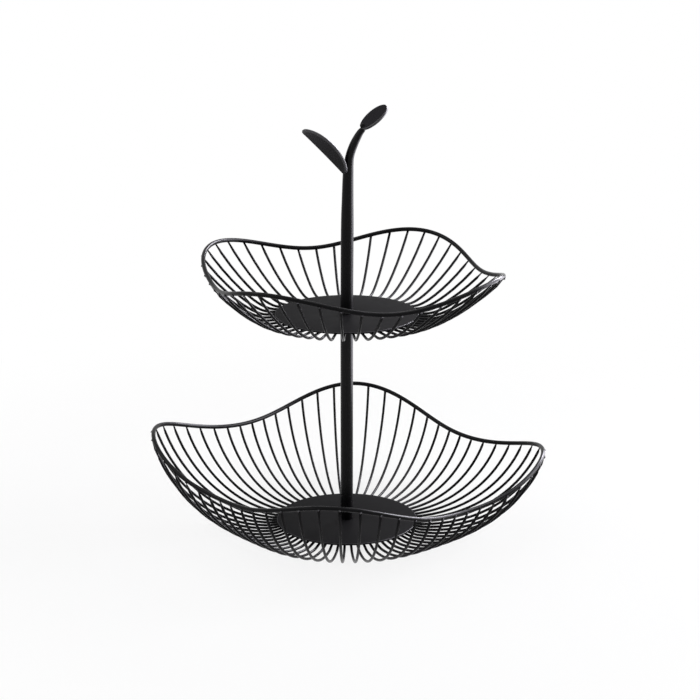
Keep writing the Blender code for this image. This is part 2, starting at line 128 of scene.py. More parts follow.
class Graph:
    """Short way to add nodes to one tree, with their settings, values and links."""

    def __init__(self, tree: bpy.types.NodeTree) -> None:
        """Work on the given tree."""
        self.tree = tree

    def fill(self, node: bpy.types.Node, inputs: dict) -> None:
        """Give a node's inputs their values and links.

        Args:
            node: Node of the tree.
            inputs: Value, or socket to link, for each input by its name or number.
        """
        for label, value in inputs.items():
            if isinstance(value, bpy.types.NodeSocket):
                self.tree.links.new(value, node.inputs[label])
            else:
                node.inputs[label].default_value = value

    def node(self, kind: str, inputs: dict | None = None, **settings: object) -> bpy.types.Node:
        """Add one node.

        Args:
            kind: Blender's type name of the node.
            inputs: Value, or socket to link, for each input by its name or number.
            **settings: Properties of the node.

        Returns:
            The new node.
        """
        node = self.tree.nodes.new(kind)
        for label, value in settings.items():
            setattr(node, label, value)
        self.fill(node, inputs or {})
        return node

    def socket(self, kind: str, inputs: dict | None = None, **settings: object) -> bpy.types.NodeSocket:
        """Add one node, as node() does, and give its first output."""
        return self.node(kind, inputs, **settings).outputs[0]

    def combine(self, operation: str, first: object, second: object) -> bpy.types.NodeSocket:
        """Join two values or sockets by one of the Math node's operations."""
        return self.socket("ShaderNodeMath", {0: first, 1: second}, operation=operation)

    def noise(self, place: bpy.types.NodeSocket, size: float, detail: float) -> bpy.types.NodeSocket:
        """Soft random pattern with spots of about the given size."""
        return self.socket("ShaderNodeTexNoise", {"Vector": place, "Scale": 1 / size, "Detail": detail})

    def remap(
        self, value: bpy.types.NodeSocket, given: tuple[float, float], wanted: tuple[float, float],
        interpolation: str = "LINEAR",
    ) -> bpy.types.NodeSocket:
        """Carry a value from one range to another.

        Args:
            value: Socket of the value.
            given: Lowest and highest value that come in.
            wanted: What comes out for these two.
            interpolation: LINEAR or SMOOTHSTEP.

        Returns:
            Socket of the new value.
        """
        ends = dict(zip(("From Min", "From Max", "To Min", "To Max"), (*given, *wanted)))
        return self.socket("ShaderNodeMapRange", {"Value": value, **ends}, interpolation_type=interpolation)

    def mix_colours(self, share: bpy.types.NodeSocket, first: object, second: object) -> bpy.types.NodeSocket:
        """Mix two colours or colour sockets.

        Args:
            share: Socket that gives the share of the second colour.
            first: Colour, or socket, at share 0.
            second: Colour, or socket, at share 1.

        Returns:
            Socket of the mixed colour.
        """
        mix = self.node("ShaderNodeMix", {0: share, 6: first, 7: second}, data_type="RGBA")
        return mix.outputs[2]


@dataclass(frozen=True)
class MetalFinish(ABC):
    """What the finishes of all metal pieces share.

    Attributes:
        name: Name of the material.
        colour: Colour of most of the surface.
        worn_and_sheen_colour: Colour where the surface is worn or dull; on the wires' cut ends and on the
            leaves it is also a painted highlight.
        gloss_range: Lowest and highest roughness.
    """

    name: str
    colour: Colour
    worn_and_sheen_colour: Colour
    gloss_range: tuple[float, float]

    @abstractmethod
    def surface(self, graph: Graph, place: bpy.types.NodeSocket) -> dict[str, object]:
        """Work out what the shader's inputs get.

        Args:
            graph: Tree of the material.
            place: Socket of the place on the piece.

        Returns:
            Value or socket for each input, by the input's name.
        """

    def gloss(self, graph: Graph, drift: bpy.types.NodeSocket) -> bpy.types.NodeSocket:
        """Roughness that follows a drifting pattern."""
        return graph.remap(drift, (0.0, 1.0), self.gloss_range)

    def material(self) -> bpy.types.Material:
        """Build the material.

        Returns:
            The material.
        """
        material = bpy.data.materials.new(self.name)
        material.use_nodes = True
        material.diffuse_color = (*self.colour, 1)
        graph = Graph(material.node_tree)
        place = graph.node("ShaderNodeTexCoord").outputs["Object"]
        graph.fill(material.node_tree.nodes["Principled BSDF"], self.surface(graph, place))
        return material


@dataclass(frozen=True)
class PowderCoat(MetalFinish):
    """Satin black powder coat with fine dimples, a drifting gloss and a thinner, paler coat on edges; on the
    wires' cut ends and the leaves the paler colour is partly a painted highlight.

    Attributes:
        specular_level: How strongly the coat mirrors, straight on.
        rubbed_level: How strongly rubbed edges and cut ends mirror.
        rubbed_from: How thin the coat is where it starts to count as rubbed.
        dimple_size: Width of one dimple.
        dimple_depth: Depth of the dimples.
        dimple_strength: How strongly the dimples turn the light.
        patch_band: Band of the dimples' pattern over which a thin coat goes from patchy to even.
        patch_share: Share of the worn colour that shows in the patches of a thin coat.
        drift_size: Width of the patches in which gloss and colour drift.
        deep_share: Darkest that the colour drifts to, as a share of it.
    """

    specular_level: float
    rubbed_level: float = 0.30
    rubbed_from: float = 0.7
    dimple_size: float = 0.0007
    dimple_depth: float = 0.000006
    dimple_strength: float = 0.6
    patch_band: tuple[float, float] = (0.35, 0.65)
    patch_share: float = 0.70
    drift_size: float = 0.0110
    deep_share: float = 0.7

    def surface(self, graph: Graph, place: bpy.types.NodeSocket) -> dict[str, object]:
        """Work out what the shader's inputs get.

        Args:
            graph: Tree of the material.
            place: Socket of the place on the piece.

        Returns:
            Value or socket for each input, by the input's name.
        """
        dimples = graph.noise(place, self.dimple_size, detail=2.0)
        drift = graph.noise(place, self.drift_size, detail=5.0)
        # The thin-coat value mixes in the worn colour: worn coat on edges and cut ends, a painted highlight
        # on the wires' cut ends, and painted lighter tone and highlights on the leaves.
        attribute = graph.node("ShaderNodeAttribute", attribute_name=PathAttribute.COAT_WEAR_AND_SHEEN.value)
        thin = attribute.outputs["Fac"]
        patchy = graph.remap(dimples, self.patch_band, (self.patch_share, 1.0))
        deep = tuple(self.deep_share * value for value in self.colour)
        full_coat = graph.mix_colours(drift, (*deep, 1), (*self.colour, 1))
        worn = graph.combine("MULTIPLY", thin, patchy)
        return {
            "Base Color": graph.mix_colours(worn, full_coat, (*self.worn_and_sheen_colour, 1)),
            "Roughness": self.gloss(graph, drift),
            "Specular IOR Level": graph.remap(
                thin, (self.rubbed_from, 1.0), (self.specular_level, self.rubbed_level)
            ),
            "Normal": graph.socket(
                "ShaderNodeBump",
                {"Height": dimples, "Distance": self.dimple_depth, "Strength": self.dimple_strength},
            ),
        }


@dataclass(frozen=True)
class ZincPlating(MetalFinish):
    """Bright zinc on turned steel, with fine turning marks round the pole's axis.

    Attributes:
        cloud_size: Width of the clouds in which the zinc has dulled.
        mark_pitch: Distance between two turning marks.
        mark_depth: Depth of the turning marks.
        mark_strength: How strongly the turning marks turn the light.
        mark_wander: How far the turning marks wander from true circles.
    """

    cloud_size: float = 1 / 450
    mark_pitch: float = 0.00025
    mark_depth: float = 0.000008
    mark_strength: float = 0.5
    mark_wander: float = 0.4

    def surface(self, graph: Graph, place: bpy.types.NodeSocket) -> dict[str, object]:
        """Work out what the shader's inputs get.

        Args:
            graph: Tree of the material.
            place: Socket of the place on the piece.

        Returns:
            Value or socket for each input, by the input's name.
        """
        clouds = graph.noise(place, self.cloud_size, detail=6.0)
        marks = graph.node(
            "ShaderNodeTexWave",
            {"Vector": place, "Scale": 1 / (FULL_TURN * self.mark_pitch), "Distortion": self.mark_wander},
            wave_type="RINGS",
            rings_direction="Z",
        )
        return {
            "Base Color": graph.mix_colours(clouds, (*self.colour, 1), (*self.worn_and_sheen_colour, 1)),
            "Roughness": self.gloss(graph, clouds),
            "Metallic": 1.0,
            "Normal": graph.socket(
                "ShaderNodeBump",
                {"Height": marks.outputs[1], "Distance": self.mark_depth, "Strength": self.mark_strength},
            ),
        }


@dataclass(frozen=True)
class WhiteFloor:
    """Matt white floor that runs out to plain white, and that still takes the object's shadow.

    Attributes:
        name: Name of the material.
        colour: Colour of the floor under the lamps.
        grain_size: Width of its grains.
        grain_share: Colour of its darkest grains, as a share of that colour.
        lift: Share of plain white that the camera and mirrors see in place of the lit floor, by the object.
        runout: Distances from the object at which that share starts to grow, and is whole.
    """

    name: str
    colour: Colour
    grain_size: float = 0.025
    grain_share: float = 0.985
    lift: float = 0.80
    runout: tuple[float, float] = (0.24, 0.60)

    def material(self) -> bpy.types.Material:
        """Build the material.

        Returns:
            The material.
        """
        material = bpy.data.materials.new(self.name)
        material.use_nodes = True
        material.node_tree.nodes.clear()
        graph = Graph(material.node_tree)
        place = graph.node("ShaderNodeTexCoord").outputs["Object"]
        grain = graph.noise(place, self.grain_size, detail=3.0)
        shade = tuple(self.grain_share * value for value in self.colour)
        colour = graph.mix_colours(grain, (*self.colour, 1), (*shade, 1))
        distance = graph.node("ShaderNodeVectorMath", {0: place}, operation="LENGTH").outputs["Value"]
        white = graph.remap(distance, self.runout, (self.lift, 1.0), "SMOOTHSTEP")
        share = graph.combine("MULTIPLY", seen_rays(graph), white)
        matt = graph.socket("ShaderNodeBsdfDiffuse", {"Color": colour})
        glow = graph.socket("ShaderNodeEmission", {"Color": (1, 1, 1, 1), "Strength": 1.0})
        mixed = graph.socket("ShaderNodeMixShader", {0: share, 1: matt, 2: glow})
        graph.node("ShaderNodeOutputMaterial", {"Surface": mixed})
        return material


def seen_rays(graph: Graph) -> bpy.types.NodeSocket:
    """Tell the rays that show a background from those that carry light.

    Args:
        graph: Tree to add the nodes to.

    Returns:
        Socket that is 1 for camera, mirror and see-through rays and 0 for the rest.
    """
    path = graph.node("ShaderNodeLightPath").outputs
    mirrored = graph.combine("MAXIMUM", path["Is Camera Ray"], path["Is Glossy Ray"])
    return graph.combine("MAXIMUM", mirrored, path["Is Transmission Ray"])


@dataclass
class GuidePath:
    """Line that a wire follows.

    Attributes:
        points: Points of the line.
        shares: Thickness at each point, as a share of the wire's diameter.
        coat_wear_and_sheen: How thin the coat is at each point, from 0 to 1; the paler colour this gives the
            wires' cut ends is partly a painted highlight.
        closed: Whether the line is a loop.
    """

    points: list[Vector]
    shares: list[float]
    coat_wear_and_sheen: list[float]
    closed: bool = False

    @classmethod
    def loop(cls, point_at: Callable[[float], Vector], steps: int) -> GuidePath:
        """Closed path of even thickness.

        Args:
            point_at: Gives the point of the loop at an angle.
            steps: Number of its points.

        Returns:
            The path.
        """
        points = [point_at(FULL_TURN * step / steps) for step in range(steps)]
        return cls(points, [1.0] * steps, [0.0] * steps, closed=True)

    @classmethod
    def cut_wire(cls, points: Sequence[Vector], diameter: float) -> GuidePath:
        """Path of a wire whose two cut ends are slightly rounded.

        Args:
            points: Centreline from cut end to cut end.
            diameter: Diameter of the wire.

        Returns:
            The path, with extra points where the ends round off.
        """
        head = (points[1] - points[0]).normalized() * diameter / 2
        tail = (points[-2] - points[-1]).normalized() * diameter / 2
        start = [points[0] + way * head for way, _ in CUT_END]
        end = [points[-1] + way * tail for way, _ in reversed(CUT_END)]
        inner = points[1:-1]
        rising = [share for _, share in CUT_END]
        shares = [*rising, *[1.0] * len(inner), *reversed(rising)]
        worn = [1.0] * len(CUT_END)
        return cls([*start, *inner, *end], shares, [*worn, *[0.0] * len(inner), *worn])


@dataclass(frozen=True)
class Bead:
    """One weld bead.

    Attributes:
        centre: Place of the bead.
        along: Direction of its long axis.
        outward: Direction of its short axis, away from the metal.
        size: Its half sizes: along, across and outward.
    """

    centre: Vector
    along: Vector
    outward: Vector
    size: Vector


class NodeForm:
    """Node tree that makes one kind of shape, with named inputs for its sizes."""

    def __init__(self, name: str, sockets: dict[str, str]) -> None:
        """Make the tree with its inputs.

        Args:
            name: Name of the tree.
            sockets: Socket type of each input besides the guide and the finish, by the input's name.
        """
        self.tree = bpy.data.node_groups.new(name, "GeometryNodeTree")
        interface = self.tree.interface
        interface.new_socket("Guide", in_out="INPUT", socket_type="NodeSocketGeometry")
        self.sockets: dict[str, str] = {}
        for label, kind in {**sockets, "Finish": "NodeSocketMaterial"}.items():
            self.sockets[label] = interface.new_socket(label, in_out="INPUT", socket_type=kind).identifier
        interface.new_socket("Shape", in_out="OUTPUT", socket_type="NodeSocketGeometry")
        self.graph = Graph(self.tree)
        self.given = self.graph.node("NodeGroupInput").outputs

    def close(self, shape: bpy.types.NodeSocket) -> None:
        """End the tree with smooth faces, real geometry and the finish.

        Args:
            shape: Socket of the shape.
        """
        smooth = self.graph.socket("GeometryNodeSetShadeSmooth", {"Geometry": shape})
        real = self.graph.socket("GeometryNodeRealizeInstances", {"Geometry": smooth})
        dressed = self.graph.socket(
            "GeometryNodeSetMaterial", {"Geometry": real, "Material": self.given["Finish"]}
        )
        self.graph.node("NodeGroupOutput", {"Shape": dressed})

    def named(self, attribute: PathAttribute) -> bpy.types.NodeSocket:
        """Socket that reads one of the guide's values."""
        kind = attribute.kind
        return self.graph.socket("GeometryNodeInputNamedAttribute", {"Name": attribute.value}, data_type=kind)

    def shape(self, name: str, guide: bpy.types.Mesh, values: dict[str, object]) -> bpy.types.Object:
        """Run the tree on a guide and keep the result as a plain mesh.

        Args:
            name: Name of the new piece.
            guide: Mesh that the tree works on.
            values: Value of each input, by the input's name.

        Returns:
            The new piece, at the origin.
        """
        carrier = place_in_scene(f"{name}_guide", guide)
        modifier = carrier.modifiers.new("form", "NODES")
        modifier.node_group = self.tree
        for label, value in values.items():
            modifier[self.sockets[label]] = value
        piece = plain_copy(carrier, name)
        bpy.data.objects.remove(carrier)
        return piece


class WireForm(NodeForm):
    """Round wires swept along guide lines."""

    def __init__(self) -> None:
        """Build the tree."""
        super().__init__("wire_form", {"Diameter": "NodeSocketFloat", "Sides": "NodeSocketInt"})
        line = self.graph.socket("GeometryNodeMeshToCurve", {"Mesh": self.given["Guide"]})
        radius = self.graph.combine("DIVIDE", self.given["Diameter"], 2.0)
        section = self.graph.socket(
            "GeometryNodeCurvePrimitiveCircle", {"Resolution": self.given["Sides"], "Radius": radius}
        )
        thickness = self.named(PathAttribute.THICKNESS)
        wires = self.graph.socket(
            "GeometryNodeCurveToMesh",
            {"Curve": line, "Profile Curve": section, "Scale": thickness, "Fill Caps": True},
        )
        self.close(wires)

    def make(
        self, name: str, paths: Sequence[GuidePath], diameter: float, sides: int, finish: bpy.types.Material
    ) -> bpy.types.Object:
        """Sweep a wire along each path.

        Args:
            name: Name of the piece.
            paths: Lines that the wires follow.
            diameter: Diameter of the wire.
            sides: Sides of its round section.
            finish: Material of the piece.

        Returns:
            One piece with all the wires.
        """
        points, edges, shares, coat_wear_and_sheen = [], [], [], []
        for path in paths:
            first = len(points)
            count = len(path.points)
            edges += [(first + step, first + step + 1) for step in range(count - 1)]
            if path.closed:
                edges.append((first + count - 1, first))
            points += path.points
            shares += path.shares
            coat_wear_and_sheen += path.coat_wear_and_sheen
        guide = bpy.data.meshes.new(f"{name}_lines")
        guide.from_pydata(points, edges, [])
        set_values(guide, PathAttribute.THICKNESS, shares)
        set_values(guide, PathAttribute.COAT_WEAR_AND_SHEEN, coat_wear_and_sheen)
        return self.shape(name, guide, {"Diameter": diameter, "Sides": sides, "Finish": finish})


class BeadForm(NodeForm):
    """Weld beads: small flattened drops, each a little different in size."""

    def __init__(self) -> None:
        """Build the tree."""
        super().__init__("bead_form", {"Size Spread": "NodeSocketFloat", "Seed": "NodeSocketInt"})
        socket = self.graph.socket
        spots = socket("GeometryNodeMeshToPoints", {"Mesh": self.given["Guide"]})
        drop = socket("GeometryNodeMeshUVSphere", {"Segments": 10, "Rings": 6, "Radius": 1.0})
        along = self.named(PathAttribute.ALONG)
        outward = self.named(PathAttribute.OUTWARD)
        turned = socket("FunctionNodeAlignRotationToVector", {"Vector": along}, axis="X")
        tipped = socket(
            "FunctionNodeAlignRotationToVector",
            {"Rotation": turned, "Vector": outward},
            axis="Z",
            pivot_axis="X",
        )
        lowest = self.graph.combine("SUBTRACT", 1.0, self.given["Size Spread"])
        highest = self.graph.combine("ADD", 1.0, self.given["Size Spread"])
        chance = self.graph.node(
            "FunctionNodeRandomValue",
            {"Min": lowest, "Max": highest, "Seed": self.given["Seed"]},
            data_type="FLOAT",
        )
        size = socket(
            "ShaderNodeVectorMath",
            {0: self.named(PathAttribute.SIZE), "Scale": chance.outputs["Value"]},
            operation="SCALE",
        )
        drops = socket(
            "GeometryNodeInstanceOnPoints",
            {"Points": spots, "Instance": drop, "Rotation": tipped, "Scale": size},
        )
        self.close(drops)

    def make(
        self, name: str, beads: Sequence[Bead], spread: float, seed: int, finish: bpy.types.Material
    ) -> bpy.types.Object:
        """Lay a bead at each place.

        Args:
            name: Name of the piece.
            beads: The beads' places, directions and sizes.
            spread: Share by which a bead may be larger or smaller.
            seed: Number that fixes the chance.
            finish: Material of the piece.

        Returns:
            One piece with all the beads.
        """
        guide = bpy.data.meshes.new(f"{name}_spots")
        guide.from_pydata([bead.centre for bead in beads], [], [])
        set_values(guide, PathAttribute.ALONG, [bead.along for bead in beads])
        set_values(guide, PathAttribute.OUTWARD, [bead.outward for bead in beads])
        set_values(guide, PathAttribute.SIZE, [bead.size for bead in beads])
        return self.shape(name, guide, {"Size Spread": spread, "Seed": seed, "Finish": finish})


def set_values(mesh: bpy.types.Mesh, attribute: PathAttribute, values: Sequence) -> None:
    """Store one value for each of a mesh's points.

    Args:
        mesh: Mesh that carries the values.
        attribute: Which value it is.
        values: The values, in the points' order.
    """
    layer = mesh.attributes.new(attribute.value, attribute.kind, "POINT")
    if attribute.kind == "FLOAT":
        layer.data.foreach_set("value", values)
    else:
        layer.data.foreach_set("vector", [part for value in values for part in value])


def place_in_scene(name: str, data: bpy.types.ID) -> bpy.types.Object:
    """Make an object at the origin.

    Args:
        name: Name of the object.
        data: Its mesh, lamp or lens.

    Returns:
        The object.
    """
    item = bpy.data.objects.new(name, data)
    bpy.context.scene.collection.objects.link(item)
    return item


def close_mesh(work: bmesh.types.BMesh, mesh: bpy.types.Mesh) -> None:
    """Merge a shape's doubles, point its faces outwards and write it to a mesh.

    Args:
        work: The shape, which is freed.
        mesh: Mesh to write to.
    """
    bmesh.ops.remove_doubles(work, verts=work.verts, dist=MERGE_DISTANCE)
    bmesh.ops.recalc_face_normals(work, faces=work.faces)
    work.to_mesh(mesh)
    work.free()


def smooth_piece(name: str, work: bmesh.types.BMesh, finish: bpy.types.Material) -> bpy.types.Object:
    """Make a shape a piece with smooth faces and its finish.

    Args:
        name: Name of the piece.
        work: The shape, which is freed.
        finish: Material of the piece.

    Returns:
        The piece, at the origin.
    """
    mesh = bpy.data.meshes.new(name)
    close_mesh(work, mesh)
    mesh.shade_smooth()
    mesh.materials.append(finish)
    return place_in_scene(name, mesh)


def plain_copy(item: bpy.types.Object, name: str) -> bpy.types.Object:
    """Copy an object as a plain mesh: modifiers applied, its place in its mesh, doubles merged.

    Args:
        item: Object to copy.
        name: Name of the copy.

    Returns:
        The copy, at the origin.
    """
    bpy.context.view_layer.update()
    graph = bpy.context.evaluated_depsgraph_get()
    mesh = bpy.data.meshes.new_from_object(item.evaluated_get(graph))
    mesh.name = name
    mesh.transform(item.matrix_world)
    work = bmesh.new()
    work.from_mesh(mesh)
    close_mesh(work, mesh)
    return place_in_scene(name, mesh)


def node_radius(node: str) -> float:
    """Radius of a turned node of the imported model."""
    low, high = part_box(node)
    return (high.x - low.x) / 2


def around_pole(radius: float, angle: float, height: float) -> Vector:
    """Point at a radius, an angle and a height round the pole."""
    return Vector((radius * math.cos(angle), radius * math.sin(angle), height))


def in_plane(spot: Vector, heading: Vector) -> Vector:
    """Place a radius and a height in the upright plane through the pole with the given heading."""
    return Vector((heading.x * spot.x, heading.y * spot.x, spot.y))


def bezier_point(start: Vector, handle_out: Vector, handle_in: Vector, end: Vector, share: float) -> Vector:
    """Find a point of a cubic curve.

    Args:
        start: First point.
        handle_out: Handle of the first point.
        handle_in: Handle of the last point.
        end: Last point.
        share: Share of the way, from 0 to 1.

    Returns:
        The point.
    """
    rest = 1 - share
    return (rest ** 3 * start + 3 * rest ** 2 * share * handle_out
            + 3 * rest * share ** 2 * handle_in + share ** 3 * end)


def smooth_point(before: Vector, start: Vector, end: Vector, after: Vector, share: float) -> Vector:
    """Find a point of a smooth curve through given points, between two of them.

    Args:
        before: Given point before the stretch.
        start: Start of the stretch.
        end: End of the stretch.
        after: Given point after the stretch.
        share: Share of the stretch, from 0 to 1.

    Returns:
        The point.
    """
    bend = before - 5 / 2 * start + 2 * end - after / 2
    twist = 3 * start - before - 3 * end + after
    return start + share / 2 * (end - before) + share ** 2 * bend + share ** 3 / 2 * twist


def even_steps(points: Sequence[Vector], spacing: float) -> list[Vector]:
    """Walk a line in even steps.

    Args:
        points: Corners of the line.
        spacing: Length of a step, which is fitted to the line's length.

    Returns:
        Points along the line, both ends included.
    """
    lengths = [(after - before).length for before, after in zip(points, points[1:])]
    count = max(2, round(sum(lengths) / spacing))
    step = sum(lengths) / count
    walked = [points[0].copy()]
    left, leg = step, 0
    here = points[0]
    while len(walked) < count:
        rest = (points[leg + 1] - here).length
        if rest >= left:
            here = here + (points[leg + 1] - here).normalized() * left
            walked.append(here.copy())
            left = step
        else:
            left -= rest
            leg += 1
            here = points[leg]
    return [*walked, points[-1].copy()]


def bend_softly(points: Sequence[Vector], reach: int) -> list[Vector]:
    """Round a line's corners by averaging each point with its neighbours.

    Args:
        points: Points in even steps.
        reach: Neighbours to take on each side; fewer near the ends, which stay in place.

    Returns:
        The softened line.
    """
    soft = []
    for index in range(len(points)):
        span = min(reach, index, len(points) - 1 - index)
        near = points[index - span:index + span + 1]
        soft.append(sum(near, near[0] * 0) / len(near))
    return soft


def thin_out(points: Sequence[Vector], turn: float, longest: float) -> list[Vector]:
    """Drop the points that a line's shape doesn't need.

    Args:
        points: Points of the line.
        turn: Largest change of direction between two kept points.
        longest: Longest stretch between two kept points.

    Returns:
        The kept points, both ends and their neighbours included.
    """
    kept = [points[0], points[1]]
    heading = points[1] - points[0]
    for index in range(2, len(points) - 2):
        ahead = points[index + 1] - points[index]
        if ahead.angle(heading) > turn or (points[index] - kept[-1]).length > longest:
            kept.append(points[index])
            heading = ahead
    return [*kept, points[-2], points[-1]]


def softened(corners: Sequence[tuple[float, float, float]], closed: bool, steps: int = 4) -> list[Vector]:
    """Round the corners of a turned piece's section.

    Args:
        corners: Radius, height and rounding of each corner.
        closed: Whether the section is a loop.
        steps: Steps of each rounding.

    Returns:
        Points of the section: radius, height and how thin the coat is there.
    """
    outline = []
    count = len(corners)
    for index, (radius, height, rounding) in enumerate(corners):
        corner = Vector((radius, height))
        if not rounding or (not closed and index in (0, count - 1)):
            outline.append(Vector((radius, height, 0)))
            continue
        before = Vector(corners[index - 1][:2])
        after = Vector(corners[(index + 1) % count][:2])
        start = corner + (before - corner).normalized() * rounding
        end = corner + (after - corner).normalized() * rounding
        for step in range(steps + 1):
            share = step / steps
            spot = (1 - share) ** 2 * start + 2 * share * (1 - share) * corner + share ** 2 * end
            outline.append(Vector((*spot, 4 * share * (1 - share))))
    return outline


def tube_section(inner: float, outer: float, bottom: float, top: float, rounding: float) -> list[Vector]:
    """Draw the section of a tube or washer with rounded edges.

    Args:
        inner: Inner radius.
        outer: Outer radius.
        bottom: Height of its bottom.
        top: Height of its top.
        rounding: Rounding of all its edges.

    Returns:
        Points of the section: radius, height and how thin the coat is there.
    """
    corners = ((inner, top), (outer, top), (outer, bottom), (inner, bottom))
    return softened([(*corner, rounding) for corner in corners], closed=True)


def turned_piece(
    name: str, section: Sequence[Vector], sides: int, finish: bpy.types.Material, closed: bool = True
) -> bpy.types.Object:
    """Spin a section round the pole's axis.

    Args:
        name: Name of the piece.
        section: Points of the section: radius, height and how thin the coat is there.
        sides: Sides of the piece.
        finish: Material of the piece.
        closed: Whether the section is a loop; otherwise it runs from axis to axis.

    Returns:
        The piece.
    """
    work = bmesh.new()
    coat = work.verts.layers.float.new(PathAttribute.COAT_WEAR_AND_SHEEN.value)
    verts = []
    for radius, height, thin in section:
        vert = work.verts.new((radius, 0, height))
        vert[coat] = thin
        verts.append(vert)
    edges = [work.edges.new(pair) for pair in zip(verts, verts[1:])]
    if closed:
        edges.append(work.edges.new((verts[-1], verts[0])))
    bmesh.ops.spin(
        work, geom=[*verts, *edges], cent=(0, 0, 0), axis=(0, 0, 1), angle=FULL_TURN, steps=sides
    )
    return smooth_piece(name, work, finish)


@dataclass
class SubAssembly(ABC):
    """Pieces that are built and dressed together.

    Attributes:
        body: Body that the pieces ride on.
        finishes: Material for each slot.
        wires: Form that sweeps wires.
        beads: Form that lays weld beads.
        pieces: The finished pieces, with their slot and the nodes that they stand for.
    """

    body: Body
    finishes: dict[Slot, bpy.types.Material]
    wires: WireForm
    beads: BeadForm
    pieces: list[tuple[bpy.types.Object, Slot, tuple[str, ...]]] = field(default_factory=list, init=False)

    @abstractmethod
    def build(self) -> None:
        """Build every piece."""

    def add(self, piece: bpy.types.Object, slot: Slot, *nodes: str) -> None:
        """Note a finished piece, its slot and the nodes that it stands for."""
        self.pieces.append((piece, slot, nodes))

    def dress(self) -> None:
        """Hand every piece to its body, hide the nodes that it stands for, and report it with its slot."""
        body = self.body.value
        for piece, slot, nodes in self.pieces:
            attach(piece, body)
            if nodes:
                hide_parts(*nodes)
            faces = len(piece.data.polygons)
            LOG.info("%s: %d faces, %s, on %s", piece.name, faces, slot.value, body)


@dataclass(frozen=True)
class RibSeat:
    """How one rib meets the rim.

    Attributes:
        rim: Centre of the rim wire there.
        heading: Level direction away from the pole.
        run: Direction along the rim.
        climb: Direction of the rib towards its cut end: its outward and upward parts.
        offset: Way from the rim's centre to the rib's centreline: its outward and upward parts.
    """

    rim: Vector
    heading: Vector
    run: Vector
    climb: Vector
    offset: Vector

    @property
    def away(self) -> Vector:
        """Direction from the rim's centre to the place where the rib touches it."""
        side = in_plane(self.offset, self.heading)
        return (side - side.dot(self.run) * self.run).normalized()


